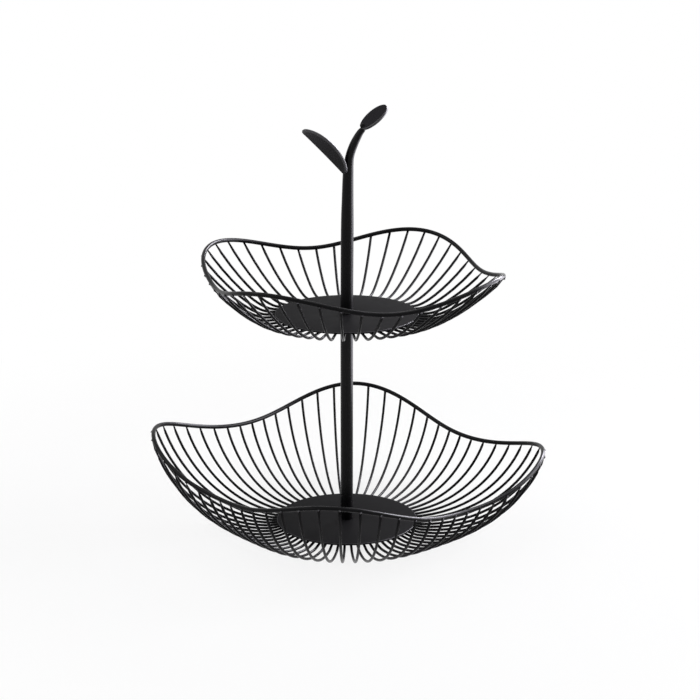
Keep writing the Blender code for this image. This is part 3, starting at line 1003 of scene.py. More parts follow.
@dataclass
class WireBasket(SubAssembly):
    """One wave-rimmed basket. Heights count from the centreline of its ribs where they lie lowest.

    Attributes:
        name: First word of its pieces' names.
        rim_radius: Middle radius of the rim.
        radius_swing: How far the wave swings out and in.
        depth: Middle height of the rim.
        height_swing: How far the wave swings up and down.
        crest_lift: Extra height of the wave's crests and troughs, which sharpens it.
        rim_shift: How far the rim sits to the right of the pole.
        lean_shares: Rise of the rim to the right and to the back, as shares of the distance.
        turn: Angle of the wave's first crest.
        rib_count: Number of ribs.
        first_rib: Angle of the first rib.
        gather_share: How much the ribs gather at the crests.
        crowd_share: How much they crowd to the right.
        foot_radius: Radius where the ribs come down to the floor.
        centre_radius: Radius where they have risen under the plate.
        centre_lift: Height of the ring.
        bowl_shares: Shape of the ribs' bend: lean in, hang and sweep.
        plate_edge: Rounding of the plate's outer edges.
        plate_lip: Rounding of the edges of its hole and its seat.
        seat_depth: Depth of the seat for what stands on the plate.
        group_count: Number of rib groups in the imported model.
        rim_steps: Points round the rim.
        ring_steps: Points round the ring.
        bowl_steps: Steps in which a rib's bend is worked out.
        fine_step: Spacing of a rib's points while it is softened.
        bend_reach: Neighbours on each side that soften a point.
        kept_turn: Largest change of direction between the points that a rib keeps.
        kept_stretch: Longest stretch between them.
        rim_sides: Sides of the rim wire's round section.
        rib_sides: Sides of the ribs' and the ring's round section.
        plate_sides: Sides of the plate.
    """

    name: str
    rim_radius: float
    radius_swing: float
    depth: float
    height_swing: float
    crest_lift: float
    rim_shift: float
    lean_shares: tuple[float, float]
    turn: float
    rib_count: int
    first_rib: float
    gather_share: float
    crowd_share: float
    foot_radius: float
    centre_radius: float
    centre_lift: float
    bowl_shares: tuple[float, float, float]
    plate_edge: float = 0.0006
    plate_lip: float = 0.0002
    seat_depth: float = 0.0005
    group_count: int = 8
    rim_steps: int = 384
    ring_steps: int = 144
    bowl_steps: int = 40
    fine_step: float = 0.0005
    bend_reach: int = 5
    kept_turn: float = math.radians(3.5)
    kept_stretch: float = 0.012
    rim_sides: int = 20
    rib_sides: int = 12
    plate_sides: int = 160

    @cached_property
    def floor_height(self) -> float:
        """World height of the ribs' lowest centreline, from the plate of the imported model."""
        low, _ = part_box(f"{self.name}_plate")
        return low.z - self.centre_lift - RING_WIRE_DIAMETER / 2 - FIT_GAP

    @property
    def rib_nodes(self) -> tuple[str, ...]:
        """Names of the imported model's rib groups."""
        return tuple(f"{self.name}_ribs_{number + 1}" for number in range(self.group_count))

    def rim_point(self, angle: float) -> Vector:
        """Find the centre of the rim wire.

        Args:
            angle: Angle round the pole.

        Returns:
            The point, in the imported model's frame.
        """
        wave = math.cos(WAVES * (angle - self.turn))
        sharpened = math.cos(2 * WAVES * (angle - self.turn))
        radius = self.rim_radius + self.radius_swing * wave
        x = self.rim_shift + radius * math.cos(angle)
        y = radius * math.sin(angle)
        height = self.depth + self.height_swing * wave + self.crest_lift * sharpened
        height += self.lean_shares[0] * x + self.lean_shares[1] * y
        return Vector((x, y, self.floor_height + height))

    def ring_point(self, angle: float) -> Vector:
        """Centre of the ring's wire at an angle round the pole."""
        return around_pole(RING_RADIUS, angle, self.floor_height + self.centre_lift)

    def rib_angle(self, index: int) -> float:
        """Find a rib's angle at the rim; the ribs gather at the crests and crowd to one side a little.

        Args:
            index: Number of the rib.

        Returns:
            The angle round the pole.
        """
        even = self.first_rib + index * FULL_TURN / self.rib_count
        gathered = self.gather_share / WAVES * math.sin(WAVES * (even - self.turn))
        return even - gathered - self.crowd_share * math.sin(even)

    def rib_seat(self, index: int) -> RibSeat:
        """Find how one rib meets the rim.

        Args:
            index: Number of the rib.

        Returns:
            The rib's seat on the rim's outer side.
        """
        angle = self.rib_angle(index)
        rim = self.rim_point(angle)
        run = (self.rim_point(angle + RIM_PROBE) - self.rim_point(angle - RIM_PROBE)).normalized()
        heading = Vector((rim.x, rim.y, 0)).normalized()
        lean_in, hang, _ = self.bowl_shares
        reach = rim.xy.length - self.foot_radius
        climb = Vector((lean_in * reach, hang * (rim.z - self.floor_height))).normalized()
        beside = Vector((climb.y, -climb.x))
        across = run.cross(in_plane(climb, heading)).normalized()
        clearance = RIM_WIRE_DIAMETER / 2 + RIB_WIRE_DIAMETER / 2 - WELD_SINK
        offset = clearance / abs(across.dot(in_plane(beside, heading))) * beside
        return RibSeat(rim, heading, run, climb, offset)

    def rib_path(self, index: int) -> GuidePath:
        """Draw one rib from its cut end on the rim's outer side to the ring round the pole.

        Args:
            index: Number of the rib.

        Returns:
            The rib's path.
        """
        seat = self.rib_seat(index)
        centre = Vector((seat.rim.xy.length, seat.rim.z - self.floor_height))
        start = centre + seat.offset + RIB_END_REACH * seat.climb
        foot = Vector((self.foot_radius, RIB_COAT))
        span = start.x - foot.x
        lean_in, hang, sweep = self.bowl_shares
        handle_out = start - Vector((lean_in * span, hang * start.y))
        handle_in = foot + Vector((sweep * span, 0))
        profile = []
        for step in range(self.bowl_steps + 1):
            profile.append(bezier_point(start, handle_out, handle_in, foot, step / self.bowl_steps))
        under_plate = self.centre_lift + RING_WIRE_DIAMETER / 2 + FIT_GAP - RIB_WIRE_DIAMETER / 2
        profile += [Vector((radius, under_plate)) for radius in (self.centre_radius, RING_RADIUS)]
        fine = bend_softly(even_steps(profile, self.fine_step), self.bend_reach)
        kept = thin_out(fine, self.kept_turn, self.kept_stretch)
        floor = Vector((0, 0, self.floor_height))
        return GuidePath.cut_wire([in_plane(spot, seat.heading) + floor for spot in kept], RIB_WIRE_DIAMETER)

    def add_wires(
        self, part: str, paths: Sequence[GuidePath], diameter: float, sides: int, nodes: Sequence[str]
    ) -> None:
        """Sweep wires as one piece.

        Args:
            part: Last words of the piece's name.
            paths: Lines that the wires follow.
            diameter: Diameter of the wires.
            sides: Sides of their round section.
            nodes: Nodes that the piece stands for.
        """
        finish = self.finishes[Slot.WIRE]
        piece = self.wires.make(f"{self.name}_{part}", paths, diameter, sides, finish)
        self.add(piece, Slot.WIRE, *nodes)

    def build_beads(self) -> None:
        """Lay a weld bead where each rib meets the rim, and where it meets the ring."""
        beads = []
        ring_side = Vector((RING_RADIUS + RING_WIRE_DIAMETER / 2, self.floor_height + self.centre_lift))
        for index in range(self.rib_count):
            seat = self.rib_seat(index)
            rim_side = seat.rim + seat.away * RIM_WIRE_DIAMETER / 2
            beads.append(Bead(rim_side, seat.run, seat.away, RIM_BEAD))
            round_pole = Vector((-seat.heading.y, seat.heading.x, 0))
            beads.append(Bead(in_plane(ring_side, seat.heading), round_pole, seat.heading, RING_BEAD))
        name = f"{self.name}_weld_beads"
        seed = self.rib_count
        self.add(self.beads.make(name, beads, BEAD_SPREAD, seed, self.finishes[Slot.WIRE]), Slot.WIRE)

    def build_plate(self) -> None:
        """Turn the centre plate, with soft edges and the seat for what stands on it."""
        low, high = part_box(f"{self.name}_plate")
        seat = node_radius("pole_tube") + FIT_GAP
        bore = node_radius("joining_stud") + FIT_GAP
        corners = (
            (bore, high.z - self.seat_depth, self.plate_lip),
            (seat, high.z - self.seat_depth, 0),
            (seat, high.z, self.plate_lip),
            (high.x, high.z, self.plate_edge),
            (high.x, low.z, self.plate_edge),
            (bore, low.z, self.plate_lip),
        )
        section = softened(corners, closed=True)
        finish = self.finishes[Slot.PLATE]
        plate = turned_piece(f"{self.name}_centre_plate", section, self.plate_sides, finish)
        plate.data.set_sharp_from_angle(angle=math.radians(50))
        self.add(plate, Slot.PLATE, f"{self.name}_plate")

    def build(self) -> None:
        """Build the rim, the ribs, the ring that holds their inner ends, the welds and the plate."""
        rim = GuidePath.loop(self.rim_point, self.rim_steps)
        self.add_wires("rim_wire", [rim], RIM_WIRE_DIAMETER, self.rim_sides, [f"{self.name}_rim"])
        ribs = [self.rib_path(index) for index in range(self.rib_count)]
        self.add_wires("rib_wires", ribs, RIB_WIRE_DIAMETER, self.rib_sides, self.rib_nodes)
        ring = GuidePath.loop(self.ring_point, self.ring_steps)
        self.add_wires("inner_ring", [ring], RING_WIRE_DIAMETER, self.rib_sides, self.rib_nodes)
        self.build_beads()
        self.build_plate()


@dataclass
class Pole(SubAssembly):
    """Pole tube between the two baskets, with softly broken ends.

    Attributes:
        sides: Sides of the tube.
        end_rounding: Rounding of the edges at its ends.
        wall: Thickness of its wall.
    """

    sides: int = 72
    end_rounding: float = 0.0003
    wall: float = 0.0009

    def build(self) -> None:
        """Turn the tube to the size of its node."""
        low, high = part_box("pole_tube")
        outer = node_radius("pole_tube")
        section = tube_section(outer - self.wall, outer, low.z, high.z, self.end_rounding)
        tube = turned_piece("pole_tube_wall", section, self.sides, self.finishes[Slot.POLE])
        self.add(tube, Slot.POLE, "pole_tube")


@dataclass(frozen=True)
class LeafShape:
    """Outline, bend and turn of one leaf plate.

    Attributes:
        name: First word of its node's name.
        length: Length from base to tip.
        width: Widest place.
        thickness: Thickness of the plate.
        arch: Height of its arch.
        rise: Angle above level.
        roll: Turn about its own length.
        heading: Direction that it points to, seen from above.
        fullness: How full its outline is; lower is fuller.
        tip_width: Width of its two blunt ends.
        painted_sheen_base: Painted lighter tone at its base, from 0 to 1, given through the coat-thinness
            value; it stands in for light that the face catches.
        painted_sheen_tip: Painted lighter tone at its tip, from 0 to 1; where it is higher than at the base
            it paints a highlight that grows towards the tip.
        edge_rounding: Radius of its rounded edges.
        least_rounding: Least radius near its ends, as a share of that radius.
        least_width: Least half width, as a share of the radius there.
        probe: Share of the length over which its direction is measured.
        steps_along: Steps from base to tip.
        steps_round: Steps of each quarter of a rounded edge.
    """

    name: str
    length: float
    width: float
    thickness: float
    arch: float
    rise: float
    roll: float
    heading: float
    fullness: float
    tip_width: float
    painted_sheen_base: float
    painted_sheen_tip: float
    edge_rounding: float = 0.0007
    least_rounding: float = 0.25
    least_width: float = 1.1
    probe: float = 0.02
    steps_along: int = 64
    steps_round: int = 5

    def swell(self, along: float) -> float:
        """How far the outline and the arch have swelled at a share of the length."""
        return max(0.0, 4 * along * (1 - along)) ** self.fullness

    def spine(self, along: float) -> Vector:
        """Middle of the leaf at a share of its length: how far along it lies, and how high."""
        return Vector((self.length * along, self.arch * self.swell(along)))

    def half_sizes(self, along: float) -> tuple[float, float, float]:
        """Measure the cross-section, which shrinks close to the two ends so that they are rounded too.

        Args:
            along: Share of the length where it is cut.

        Returns:
            Half its width, half its height and the radius of its edges.
        """
        to_end = min((self.spine(along) - self.spine(end)).length for end in (0.0, 1.0))
        left_over = 1 - min(1.0, to_end / self.edge_rounding)
        rounding = self.edge_rounding * max(self.least_rounding, math.sqrt(1 - left_over ** 2))
        inset = self.edge_rounding - rounding
        half_width = self.tip_width / 2 + (self.width - self.tip_width) / 2 * self.swell(along) - inset
        return max(half_width, self.least_width * rounding), self.thickness / 2 - inset, rounding

    def section(self, along: float) -> list[tuple[Vector, float]]:
        """Draw the rounded cross-section: four rounded corners, and flat stretches over and under.

        Args:
            along: Share of the length where it is cut.

        Returns:
            Each point, before the leaf is turned and placed, with 1 on an edge and 0 on a face.
        """
        half_width, half_height, rounding = self.half_sizes(along)
        across, up = half_width - rounding, half_height - rounding
        outline = []
        for quarter, (side, level) in enumerate(((1, 1), (-1, 1), (-1, -1), (1, -1))):
            for step in range(self.steps_round + 1):
                angle = math.pi / 2 * (quarter + step / self.steps_round)
                sideways = side * across + rounding * math.cos(angle)
                height = level * up + rounding * math.sin(angle)
                outline.append((Vector((sideways, height)), 1.0))
            if quarter in (0, 2):
                for share in LEAF_LINES:
                    outline.append((Vector((level * share * across, level * half_height)), 0.0))
        middle = self.spine(along)
        run = self.spine(min(1.0, along + self.probe)) - self.spine(max(0.0, along - self.probe))
        upright = Vector((-run.y, run.x)).normalized()
        bent = []
        for spot, edge in outline:
            along_leaf = middle.x + spot.y * upright.x
            height = middle.y + spot.y * upright.y
            bent.append((Vector((along_leaf, spot.x, height)), edge))
        return bent

    def build(self, base: Vector, finish: bpy.types.Material) -> bpy.types.Object:
        """Model the leaf as a row of cross-sections.

        Args:
            base: Place of its base, in the middle of its thickness.
            finish: Material of the leaf.

        Returns:
            The leaf.
        """
        work = bmesh.new()
        coat = work.verts.layers.float.new(PathAttribute.COAT_WEAR_AND_SHEEN.value)
        rings = []
        for step in range(self.steps_along + 1):
            along = (1 - math.cos(math.pi * step / self.steps_along)) / 2
            # Painted lighter tone on the faces: a highlight that grows towards the left leaf's tip, and an
            # evenly lighter face on the right leaf, standing in for light that the faces catch.
            painted_face_sheen = self.painted_sheen_base + (self.painted_sheen_tip - self.painted_sheen_base) * along ** 2
            ring = []
            for spot, edge in self.section(along):
                vert = work.verts.new(spot)
                # The rounded edges get the full worn colour: partly rubbed coat, partly a painted highlight
                # along the edges.
                vert[coat] = max(painted_face_sheen, edge)
                ring.append(vert)
            rings.append(ring)
        for before, after in zip(rings, rings[1:]):
            for index, vert in enumerate(before):
                follow = (index + 1) % len(before)
                work.faces.new((vert, before[follow], after[follow], after[index]))
        work.faces.new(rings[0])
        work.faces.new(rings[-1])
        leaf = smooth_piece(f"{self.name}_plate", work, finish)
        turn = Euler((self.roll, -self.rise, self.heading)).to_matrix().to_4x4()
        leaf.data.transform(Matrix.Translation(base) @ turn)
        return leaf


@dataclass
class Twig(SubAssembly):
    """Stem above the upper basket: it tapers, forks and bends to the right, and carries two leaves.

    Attributes:
        reach: How far its tip stands to the right of the pole.
        height: Height of the tip over the foot.
        stations: Height, sideways place and diameter up the twig, as shares of its height, its
            reach and its foot's diameter.
        left_leaf: Shape of the left leaf.
        right_leaf: Shape of the right leaf.
        leaf_finish: Material of the leaves.
        left_start_shares: Height and sideways place of the left leaf's base.
        left_forward: How far the left leaf's base stands in front of the stem's middle.
        right_overlap: Length by which the right leaf lies on the twig's tip.
        right_lift: How far the right leaf's middle plane lies over the twig's tip.
        foot_rounding: Rounding of the edge of its foot.
        tip_wear: How thin the coat is at its tip.
        smooth_steps: Steps between two stations.
        sides: Sides of the stem.
    """

    reach: float
    height: float
    stations: tuple[tuple[float, float, float], ...]
    left_leaf: LeafShape
    right_leaf: LeafShape
    leaf_finish: bpy.types.Material
    left_start_shares: tuple[float, float]
    left_forward: float
    right_overlap: float
    right_lift: float
    foot_rounding: float = 0.0004
    tip_wear: float = 0.3
    smooth_steps: int = 14
    sides: int = 40

    @cached_property
    def foot_height(self) -> float:
        """World height of the twig's foot."""
        low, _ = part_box("twig")
        return low.z

    def station_rows(self) -> list[Vector]:
        """Smooth the stations into a fine line.

        Returns:
            Height above the foot, sideways place and thickness of each fine station; the thickness is a
            share of the foot's diameter.
        """
        rows = [Vector((up * self.height, side * self.reach, thick)) for up, side, thick in self.stations]
        padded = [rows[0], *rows, rows[-1]]
        fine = []
        for index in range(1, len(padded) - 2):
            for step in range(self.smooth_steps):
                fine.append(smooth_point(*padded[index - 1:index + 3], step / self.smooth_steps))
        return [*fine, rows[-1]]

    def build_stem(self) -> None:
        """Sweep the stem, with a soft edge at its foot and a round tip."""
        diameter = 2 * node_radius("pole_tube")
        rows = self.station_rows()
        points = [Vector((row.y, 0, self.foot_height + row.x)) for row in rows]
        shares = [row.z for row in rows]
        rounding = self.foot_rounding
        foot = [points[0] + Vector((0, 0, way * rounding)) for way, _ in FOOT_EDGE]
        foot_shares = [shares[0] - 2 * inset * rounding / diameter for _, inset in FOOT_EDGE]
        ahead = (points[-1] - points[-2]).normalized()
        tip_radius = shares[-1] * diameter / 2
        tip = [points[-1] - ahead * way * tip_radius for way, _ in ROUND_TIP]
        tip_shares = [shares[-1] * share for _, share in ROUND_TIP]
        while (points[-1] - tip[-1]).length < tip_radius:
            points.pop()
            shares.pop()
        coat_wear_and_sheen = [1.0] * len(foot) + [0.0] * (len(points) - 1) + [self.tip_wear] * len(tip)
        path = GuidePath([*foot, *points[1:], *tip], [*foot_shares, *shares[1:], *tip_shares], coat_wear_and_sheen)
        stem = self.wires.make("twig_stem", [path], diameter, self.sides, self.finishes[Slot.TWIG])
        self.add(stem, Slot.TWIG, "twig")

    def build_leaves(self) -> None:
        """Model the two leaves and the weld that holds the right one to the stem's tip."""
        up, side = self.left_start_shares
        left_base = Vector((side * self.reach, -self.left_forward, self.foot_height + up * self.height))
        self.add(self.left_leaf.build(left_base, self.leaf_finish), Slot.TWIG, "left_leaf")
        shape = self.right_leaf
        along = Vector((math.cos(shape.rise), 0, math.sin(shape.rise)))
        upright = Vector((-math.sin(shape.rise), 0, math.cos(shape.rise)))
        face = math.cos(shape.roll) * upright - math.sin(shape.roll) * Vector((0, 1, 0))
        lifted_tip = Vector((self.reach, 0, self.foot_height + self.height)) + face * self.right_lift
        right_base = lifted_tip - self.right_overlap * along
        self.add(shape.build(right_base, self.leaf_finish), Slot.TWIG, "right_leaf")
        weld = Bead(lifted_tip, along, face, LEAF_BEAD)
        self.add(self.beads.make("leaf_weld", [weld], 0.0, 1, self.finishes[Slot.TWIG]), Slot.TWIG)

    def build(self) -> None:
        """Build the stem and the leaves."""
        self.build_stem()
        self.build_leaves()


@dataclass
class Hardware(SubAssembly):
    """Zinc-plated screw, washer and stud that clamp the plates, the pole and the twig together.

    Attributes:
        pitch: Pitch of the thread.
        thread_depth: Depth of the thread.
        thread_sides: Sides of the thread's round ridge.
        turn_steps: Steps of one turn of the thread.
        faded_share: Thickness of the ridge at its two ends, as a share.
        chamfer: Chamfer at the ends of the screw and the stud.
        head_height: Height of the screw's head.
        socket_width: Width of the screw's six-sided socket, over its corners.
        socket_depth: Depth of the socket.
        cut_overrun: How far the socket's cutter reaches out of the head.
        washer_edge: Rounding of the washer's edges.
        sides: Sides of the turned pieces.
    """

    pitch: float = 0.0008
    thread_depth: float = 0.0005
    thread_sides: int = 6
    turn_steps: int = 20
    faded_share: float = 0.2
    chamfer: float = 0.0004
    head_height: float = 0.0021
    socket_width: float = 0.0040
    socket_depth: float = 0.0012
    cut_overrun: float = 0.0010
    washer_edge: float = 0.0003
    sides: int = 48

    def add_thread(self, name: str, bottom: float, top: float) -> None:
        """Lay a thread's ridge round a core; it fades at both ends.

        Args:
            name: Name of the piece.
            bottom: Height where the thread starts.
            top: Height where it ends.
        """
        radius = node_radius("joining_stud") - self.thread_depth / 2
        count = int((top - bottom) / self.pitch * self.turn_steps)
        points, shares = [], []
        for step in range(count + 1):
            height = bottom + (top - bottom) * step / count
            points.append(around_pole(radius, FULL_TURN * step / self.turn_steps, height))
            shares.append(min(1.0, self.faded_share + min(step, count - step) / self.turn_steps))
        ridge = GuidePath(points, shares, [0.0] * len(points))
        finish = self.finishes[Slot.HARDWARE]
        self.add(self.wires.make(name, [ridge], self.thread_depth, self.thread_sides, finish), Slot.HARDWARE)

    def socket_cutter(self, bottom: float) -> bpy.types.Object:
        """Make the six-sided cutter of the screw's socket.

        Args:
            bottom: Height of the underside of the screw's head.

        Returns:
            The cutter.
        """
        work = bmesh.new()
        bmesh.ops.create_cone(
            work, cap_ends=True, segments=6, radius1=self.socket_width / 2, radius2=self.socket_width / 2,
            depth=self.socket_depth + self.cut_overrun,
        )
        middle = bottom + (self.socket_depth - self.cut_overrun) / 2
        bmesh.ops.translate(work, verts=work.verts, vec=(0, 0, middle))
        mesh = bpy.data.meshes.new("socket_cutter")
        work.to_mesh(mesh)
        work.free()
        return place_in_scene("socket_cutter", mesh)

    def build_screw(self) -> None:
        """Turn the base screw and cut its socket; its thread is a ridge of its own."""
        low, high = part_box("base_screw")
        core = node_radius("joining_stud") - self.thread_depth
        head = node_radius("base_screw")
        head_top = low.z + self.head_height
        corners = (
            (0, high.z, 0),
            (core, high.z, self.chamfer),
            (core, head_top, 0),
            (head, head_top, self.chamfer / 2),
            (head, low.z, self.chamfer),
            (0, low.z, 0),
        )
        finish = self.finishes[Slot.HARDWARE]
        body = turned_piece("screw_body", softened(corners, closed=False), self.sides, finish, closed=False)
        cutter = self.socket_cutter(low.z)
        cut = body.modifiers.new("socket", "BOOLEAN")
        cut.operation = "DIFFERENCE"
        cut.solver = "EXACT"
        cut.object = cutter
        screw = plain_copy(body, "base_screw_turned")
        screw.data.set_sharp_from_angle(angle=math.radians(40))
        bpy.data.objects.remove(body)
        bpy.data.objects.remove(cutter)
        self.add(screw, Slot.HARDWARE, "base_screw")
        self.add_thread("base_screw_thread", head_top + self.pitch, high.z - self.chamfer)

    def build_washer(self) -> None:
        """Turn the washer with soft edges."""
        low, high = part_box("base_washer")
        bore = node_radius("joining_stud") + FIT_GAP
        section = tube_section(bore, node_radius("base_washer"), low.z, high.z, self.washer_edge)
        washer = turned_piece("base_washer_turned", section, self.sides, self.finishes[Slot.HARDWARE])
        self.add(washer, Slot.HARDWARE, "base_washer")

    def build_stud(self) -> None:
        """Turn the stud's core and lay its thread."""
        low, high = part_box("joining_stud")
        core = node_radius("joining_stud") - self.thread_depth
        corners = ((0, high.z, 0), (core, high.z, self.chamfer), (core, low.z, self.chamfer), (0, low.z, 0))
        section = softened(corners, closed=False)
        finish = self.finishes[Slot.HARDWARE]
        stud = turned_piece("joining_stud_core", section, self.sides, finish, closed=False)
        self.add(stud, Slot.HARDWARE, "joining_stud")
        self.add_thread("joining_stud_thread", low.z + self.chamfer, high.z - self.chamfer)

    def finish_inserts(self) -> None:
        """Give the two inserts inside the pole, which stay as packed, the zinc finish."""
        for node in ("pole_bottom_insert", "pole_top_insert"):
            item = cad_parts[node]
            item.data.materials.clear()
            item.data.materials.append(self.finishes[Slot.HARDWARE])

    def build(self) -> None:
        """Build every piece of hardware."""
        self.build_screw()
        self.build_washer()
        self.build_stud()
        self.finish_inserts()


@dataclass(frozen=True)
class SoftBox:
    """One large soft lamp.

    Attributes:
        name: Name of the lamp.
        place: Where it stands.
        target: Point that it faces.
        size: Width and height of its face.
        power: Power in watts.
        colour: Colour of its light.
        mirrored_only: Whether it only shows as a streak in the coat's gloss, and lights nothing.
    """

    name: str
    place: tuple[float, float, float]
    target: tuple[float, float, float]
    size: tuple[float, float]
    power: float
    colour: Colour = (1.0, 1.0, 1.0)
    mirrored_only: bool = False

    def build(self) -> None:
        """Set up the lamp, which the camera doesn't see."""
        lamp = bpy.data.lights.new(self.name, "AREA")
        lamp.shape = "RECTANGLE"
        lamp.size, lamp.size_y = self.size
        lamp.energy = self.power
        lamp.color = self.colour
        item = place_in_scene(self.name, lamp)
        item.visible_camera = False
        item.visible_diffuse = not self.mirrored_only
        item.location = self.place
        aim = Vector(self.target) - Vector(self.place)
        item.rotation_euler = aim.to_track_quat("-Z", "Y").to_euler()


@dataclass
class Studio:
    """Camera, lamps, floor and surroundings.

    Attributes:
        camera_place: Where the camera stands.
        camera_pitch: How far it looks down.
        focal_pixels: Its focal length in pixels of the 700-pixel picture.
        picture_width: Width of the picture in pixels.
        sensor_width: Width of the sensor in millimetres.
        nearest: Distance from which the camera sees things.
        floor_size: Side of the square floor.
        floor_cells: Cells along each side of the floor.
        floor_colour: Colour of the floor.
        room_level: Light of the room on the camera's side.
        backdrop_level: Light of the white backdrop behind the object.
        backdrop_band: How far to the back a direction points where the backdrop starts, and where it is full.
    """

    camera_place: tuple[float, float, float] = (0.00265, -1.5232, 0.5985)
    camera_pitch: float = math.radians(16.35)
    focal_pixels: float = 1957.07
    picture_width: int = 700
    sensor_width: float = 36.0
    nearest: float = 0.01
    floor_size: float = 24.0
    floor_cells: int = 8
    floor_colour: Colour = (0.86, 0.86, 0.86)
    room_level: float = 0.18
    backdrop_level: float = 0.75
    backdrop_band: tuple[float, float] = (-0.1, 0.9)

    def build_camera(self) -> None:
        """Set up the camera at the photograph's angle."""
        lens = bpy.data.cameras.new("camera")
        lens.sensor_width = self.sensor_width
        lens.lens = self.focal_pixels / self.picture_width * self.sensor_width
        lens.clip_start = self.nearest
        lens.clip_end = 2 * self.floor_size
        camera = place_in_scene("camera", lens)
        camera.location = self.camera_place
        camera.rotation_euler = (math.radians(90) - self.camera_pitch, 0, 0)
        bpy.context.scene.camera = camera

    def build_floor(self) -> None:
        """Lay the floor."""
        work = bmesh.new()
        cells = self.floor_cells
        bmesh.ops.create_grid(work, x_segments=cells, y_segments=cells, size=self.floor_size / 2)
        mesh = bpy.data.meshes.new("floor")
        work.to_mesh(mesh)
        work.free()
        mesh.materials.append(WhiteFloor("white_floor", self.floor_colour).material())
        place_in_scene("floor", mesh)

    def build_surroundings(self) -> None:
        """Light from all round, brighter behind the object; white where the camera looks past the floor."""
        world = bpy.data.worlds.new("studio")
        bpy.context.scene.world = world
        world.use_nodes = True
        world.node_tree.nodes.clear()
        graph = Graph(world.node_tree)
        direction = graph.node("ShaderNodeTexCoord").outputs["Generated"]
        to_back = graph.node("ShaderNodeSeparateXYZ", {0: direction}).outputs["Y"]
        levels = (self.room_level, self.backdrop_level)
        light = graph.remap(to_back, self.backdrop_band, levels, "SMOOTHSTEP")
        shown = graph.socket("ShaderNodeMix", {0: seen_rays(graph), 2: light, 3: 1.0})
        glow = graph.socket("ShaderNodeBackground", {"Color": (1, 1, 1, 1), "Strength": shown})
        graph.node("ShaderNodeOutputWorld", {"Surface": glow})

    def build_lamps(self) -> None:
        """Set up four soft boxes, and two panels that only the coat's gloss shows."""
        middle = (0.0, 0.0, 0.17)
        high_middle = (0.0, 0.0, 0.40)
        lilac = (0.97, 0.95, 1.0)
        violet = (0.93, 0.91, 1.0)
        lamps = (
            SoftBox("right_softbox", (1.25, 0.15, 0.55), middle, (0.35, 1.3), 20.0, lilac),
            SoftBox("top_softbox", (0.1, 0.0, 1.6), middle, (1.0, 1.0), 8.0),
            SoftBox("upper_left_softbox", (-1.0, 0.1, 1.05), middle, (0.8, 0.8), 4.5),
            SoftBox("front_left_softbox", (-1.05, -1.1, 0.8), middle, (0.6, 0.8), 2.4),
            SoftBox("edge_panel", (0.36, 0.11, 0.40), high_middle, (0.34, 0.78), 7.0, violet, True),
            SoftBox("rim_panel", (0.80, 0.95, 0.80), middle, (0.55, 0.55), 40.0, violet, True),
        )
        for lamp in lamps:
            lamp.build()

    def build(self) -> None:
        """Set up the whole studio."""
        bpy.context.scene.view_settings.view_transform = "Standard"
        self.build_camera()
        self.build_floor()
        self.build_surroundings()
        self.build_lamps()


def make_finishes() -> dict[Slot, bpy.types.Material]:
    """Build the material of each slot.

    Returns:
        Material by slot.
    """
    edge = (0.030, 0.029, 0.033)
    # Cut-end colour of the wires: partly worn coat, partly a painted highlight on the ribs' cut ends; the
    # other pieces' edge colour is worn coat.
    end = (0.075, 0.072, 0.082)
    finishes = {
        Slot.WIRE: PowderCoat("black_wire_coat", (0.0055, 0.0053, 0.0060), end, (0.20, 0.30), 0.06),
        Slot.PLATE: PowderCoat("black_plate_coat", (0.0045, 0.0043, 0.0048), edge, (0.46, 0.58), 0.02),
        Slot.POLE: PowderCoat("black_pole_coat", (0.0045, 0.0043, 0.0049), edge, (0.22, 0.32), 0.12),
        Slot.TWIG: PowderCoat("black_twig_coat", (0.0050, 0.0048, 0.0055), edge, (0.26, 0.36), 0.09),
        Slot.HARDWARE: ZincPlating("zinc_plating", (0.62, 0.63, 0.64), (0.44, 0.45, 0.46), (0.22, 0.42)),
    }
    return {slot: finish.material() for slot, finish in finishes.items()}


def make_leaf_finish() -> bpy.types.Material:
    """Build the coat of the leaves, whose rubbed edges are glossier than those of the other pieces. Its
    second colour paints a lighter tone and highlights onto the leaves: towards the left leaf's tip, over the
    right leaf's face, and partly along the rubbed edges.

    Returns:
        The material.
    """
    colour = (0.0085, 0.0077, 0.0092)
    # Second colour: painted highlight and lighter tone on the leaves, partly rubbed coat on their edges.
    painted_sheen_colour = (0.021, 0.020, 0.024)
    return PowderCoat("black_leaf_coat", colour, painted_sheen_colour, (0.24, 0.34), 0.02, rubbed_level=0.45).material()


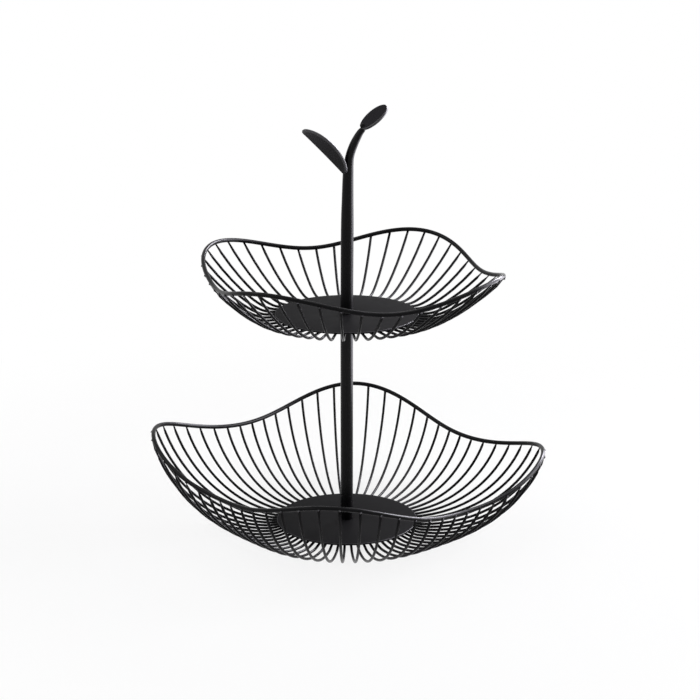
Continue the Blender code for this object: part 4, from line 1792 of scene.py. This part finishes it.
def main() -> None:
    """Build, dress and report every sub-assembly, then set up the studio."""
    logging.basicConfig(level=logging.INFO, format="%(name)s: %(message)s")
    shared = (make_finishes(), WireForm(), BeadForm())
    lower = WireBasket(
        Body.ROOT, *shared, "lower",
        rim_radius=0.1472, radius_swing=0.0128, depth=0.0610, height_swing=0.0110, crest_lift=0.0014,
        rim_shift=0.0009, lean_shares=(-0.039, -0.004), turn=math.radians(-3.1),
        rib_count=64, first_rib=math.radians(4.1), gather_share=0.01, crowd_share=-0.01,
        foot_radius=0.0618, centre_radius=0.0520, centre_lift=0.0022, bowl_shares=(0.105, 0.440, 0.576),
    )
    upper = WireBasket(
        Body.UPPER_BASKET, *shared, "upper",
        rim_radius=0.1191, radius_swing=0.0078, depth=0.0391, height_swing=0.0076, crest_lift=0.0002,
        rim_shift=0.0034, lean_shares=(-0.009, 0.002), turn=math.radians(-27.65),
        rib_count=48, first_rib=math.radians(2.5), gather_share=0.06, crowd_share=0.04,
        foot_radius=0.0656, centre_radius=0.0450, centre_lift=0.0004, bowl_shares=(0.244, 0.420, 0.270),
    )
    twig = Twig(
        Body.ROOT, *shared,
        reach=0.0145, height=0.1510,
        stations=(
            (0.000, 0.00, 1.00), (0.450, 0.03, 1.00), (0.615, 0.05, 0.92), (0.765, 0.08, 0.83),
            (0.810, 0.11, 0.76), (0.845, 0.16, 0.69), (0.880, 0.26, 0.67), (0.925, 0.45, 0.64),
            (0.970, 0.70, 0.54), (0.990, 0.87, 0.46), (1.000, 1.00, 0.38),
        ),
        # painted_sheen_base and painted_sheen_tip paint a lighter tone on the leaves: a highlight towards the
        # left leaf's tip, and an evenly lighter face on the right leaf.
        left_leaf=LeafShape(
            "left_leaf", length=0.0471, width=0.0218, thickness=0.0023, arch=0.0049,
            rise=math.radians(45.6), roll=math.radians(32.9), heading=math.pi, fullness=0.65,
            tip_width=0.0034, painted_sheen_base=0.0, painted_sheen_tip=0.65,
        ),
        right_leaf=LeafShape(
            "right_leaf", length=0.0264, width=0.0142, thickness=0.0024, arch=0.0003,
            rise=math.radians(40.2), roll=math.radians(36.5), heading=0.0, fullness=0.56,
            tip_width=0.0022, painted_sheen_base=0.65, painted_sheen_tip=0.65,
        ),
        leaf_finish=make_leaf_finish(),
        left_start_shares=(0.7629, -0.103), left_forward=0.0035,
        right_overlap=0.0024, right_lift=0.0023,
    )
    assemblies = (lower, upper, Pole(Body.ROOT, *shared), twig, Hardware(Body.ROOT, *shared))
    for assembly in assemblies:
        assembly.build()
        assembly.dress()
    Studio().build()


if __name__ == "__main__":
    main()
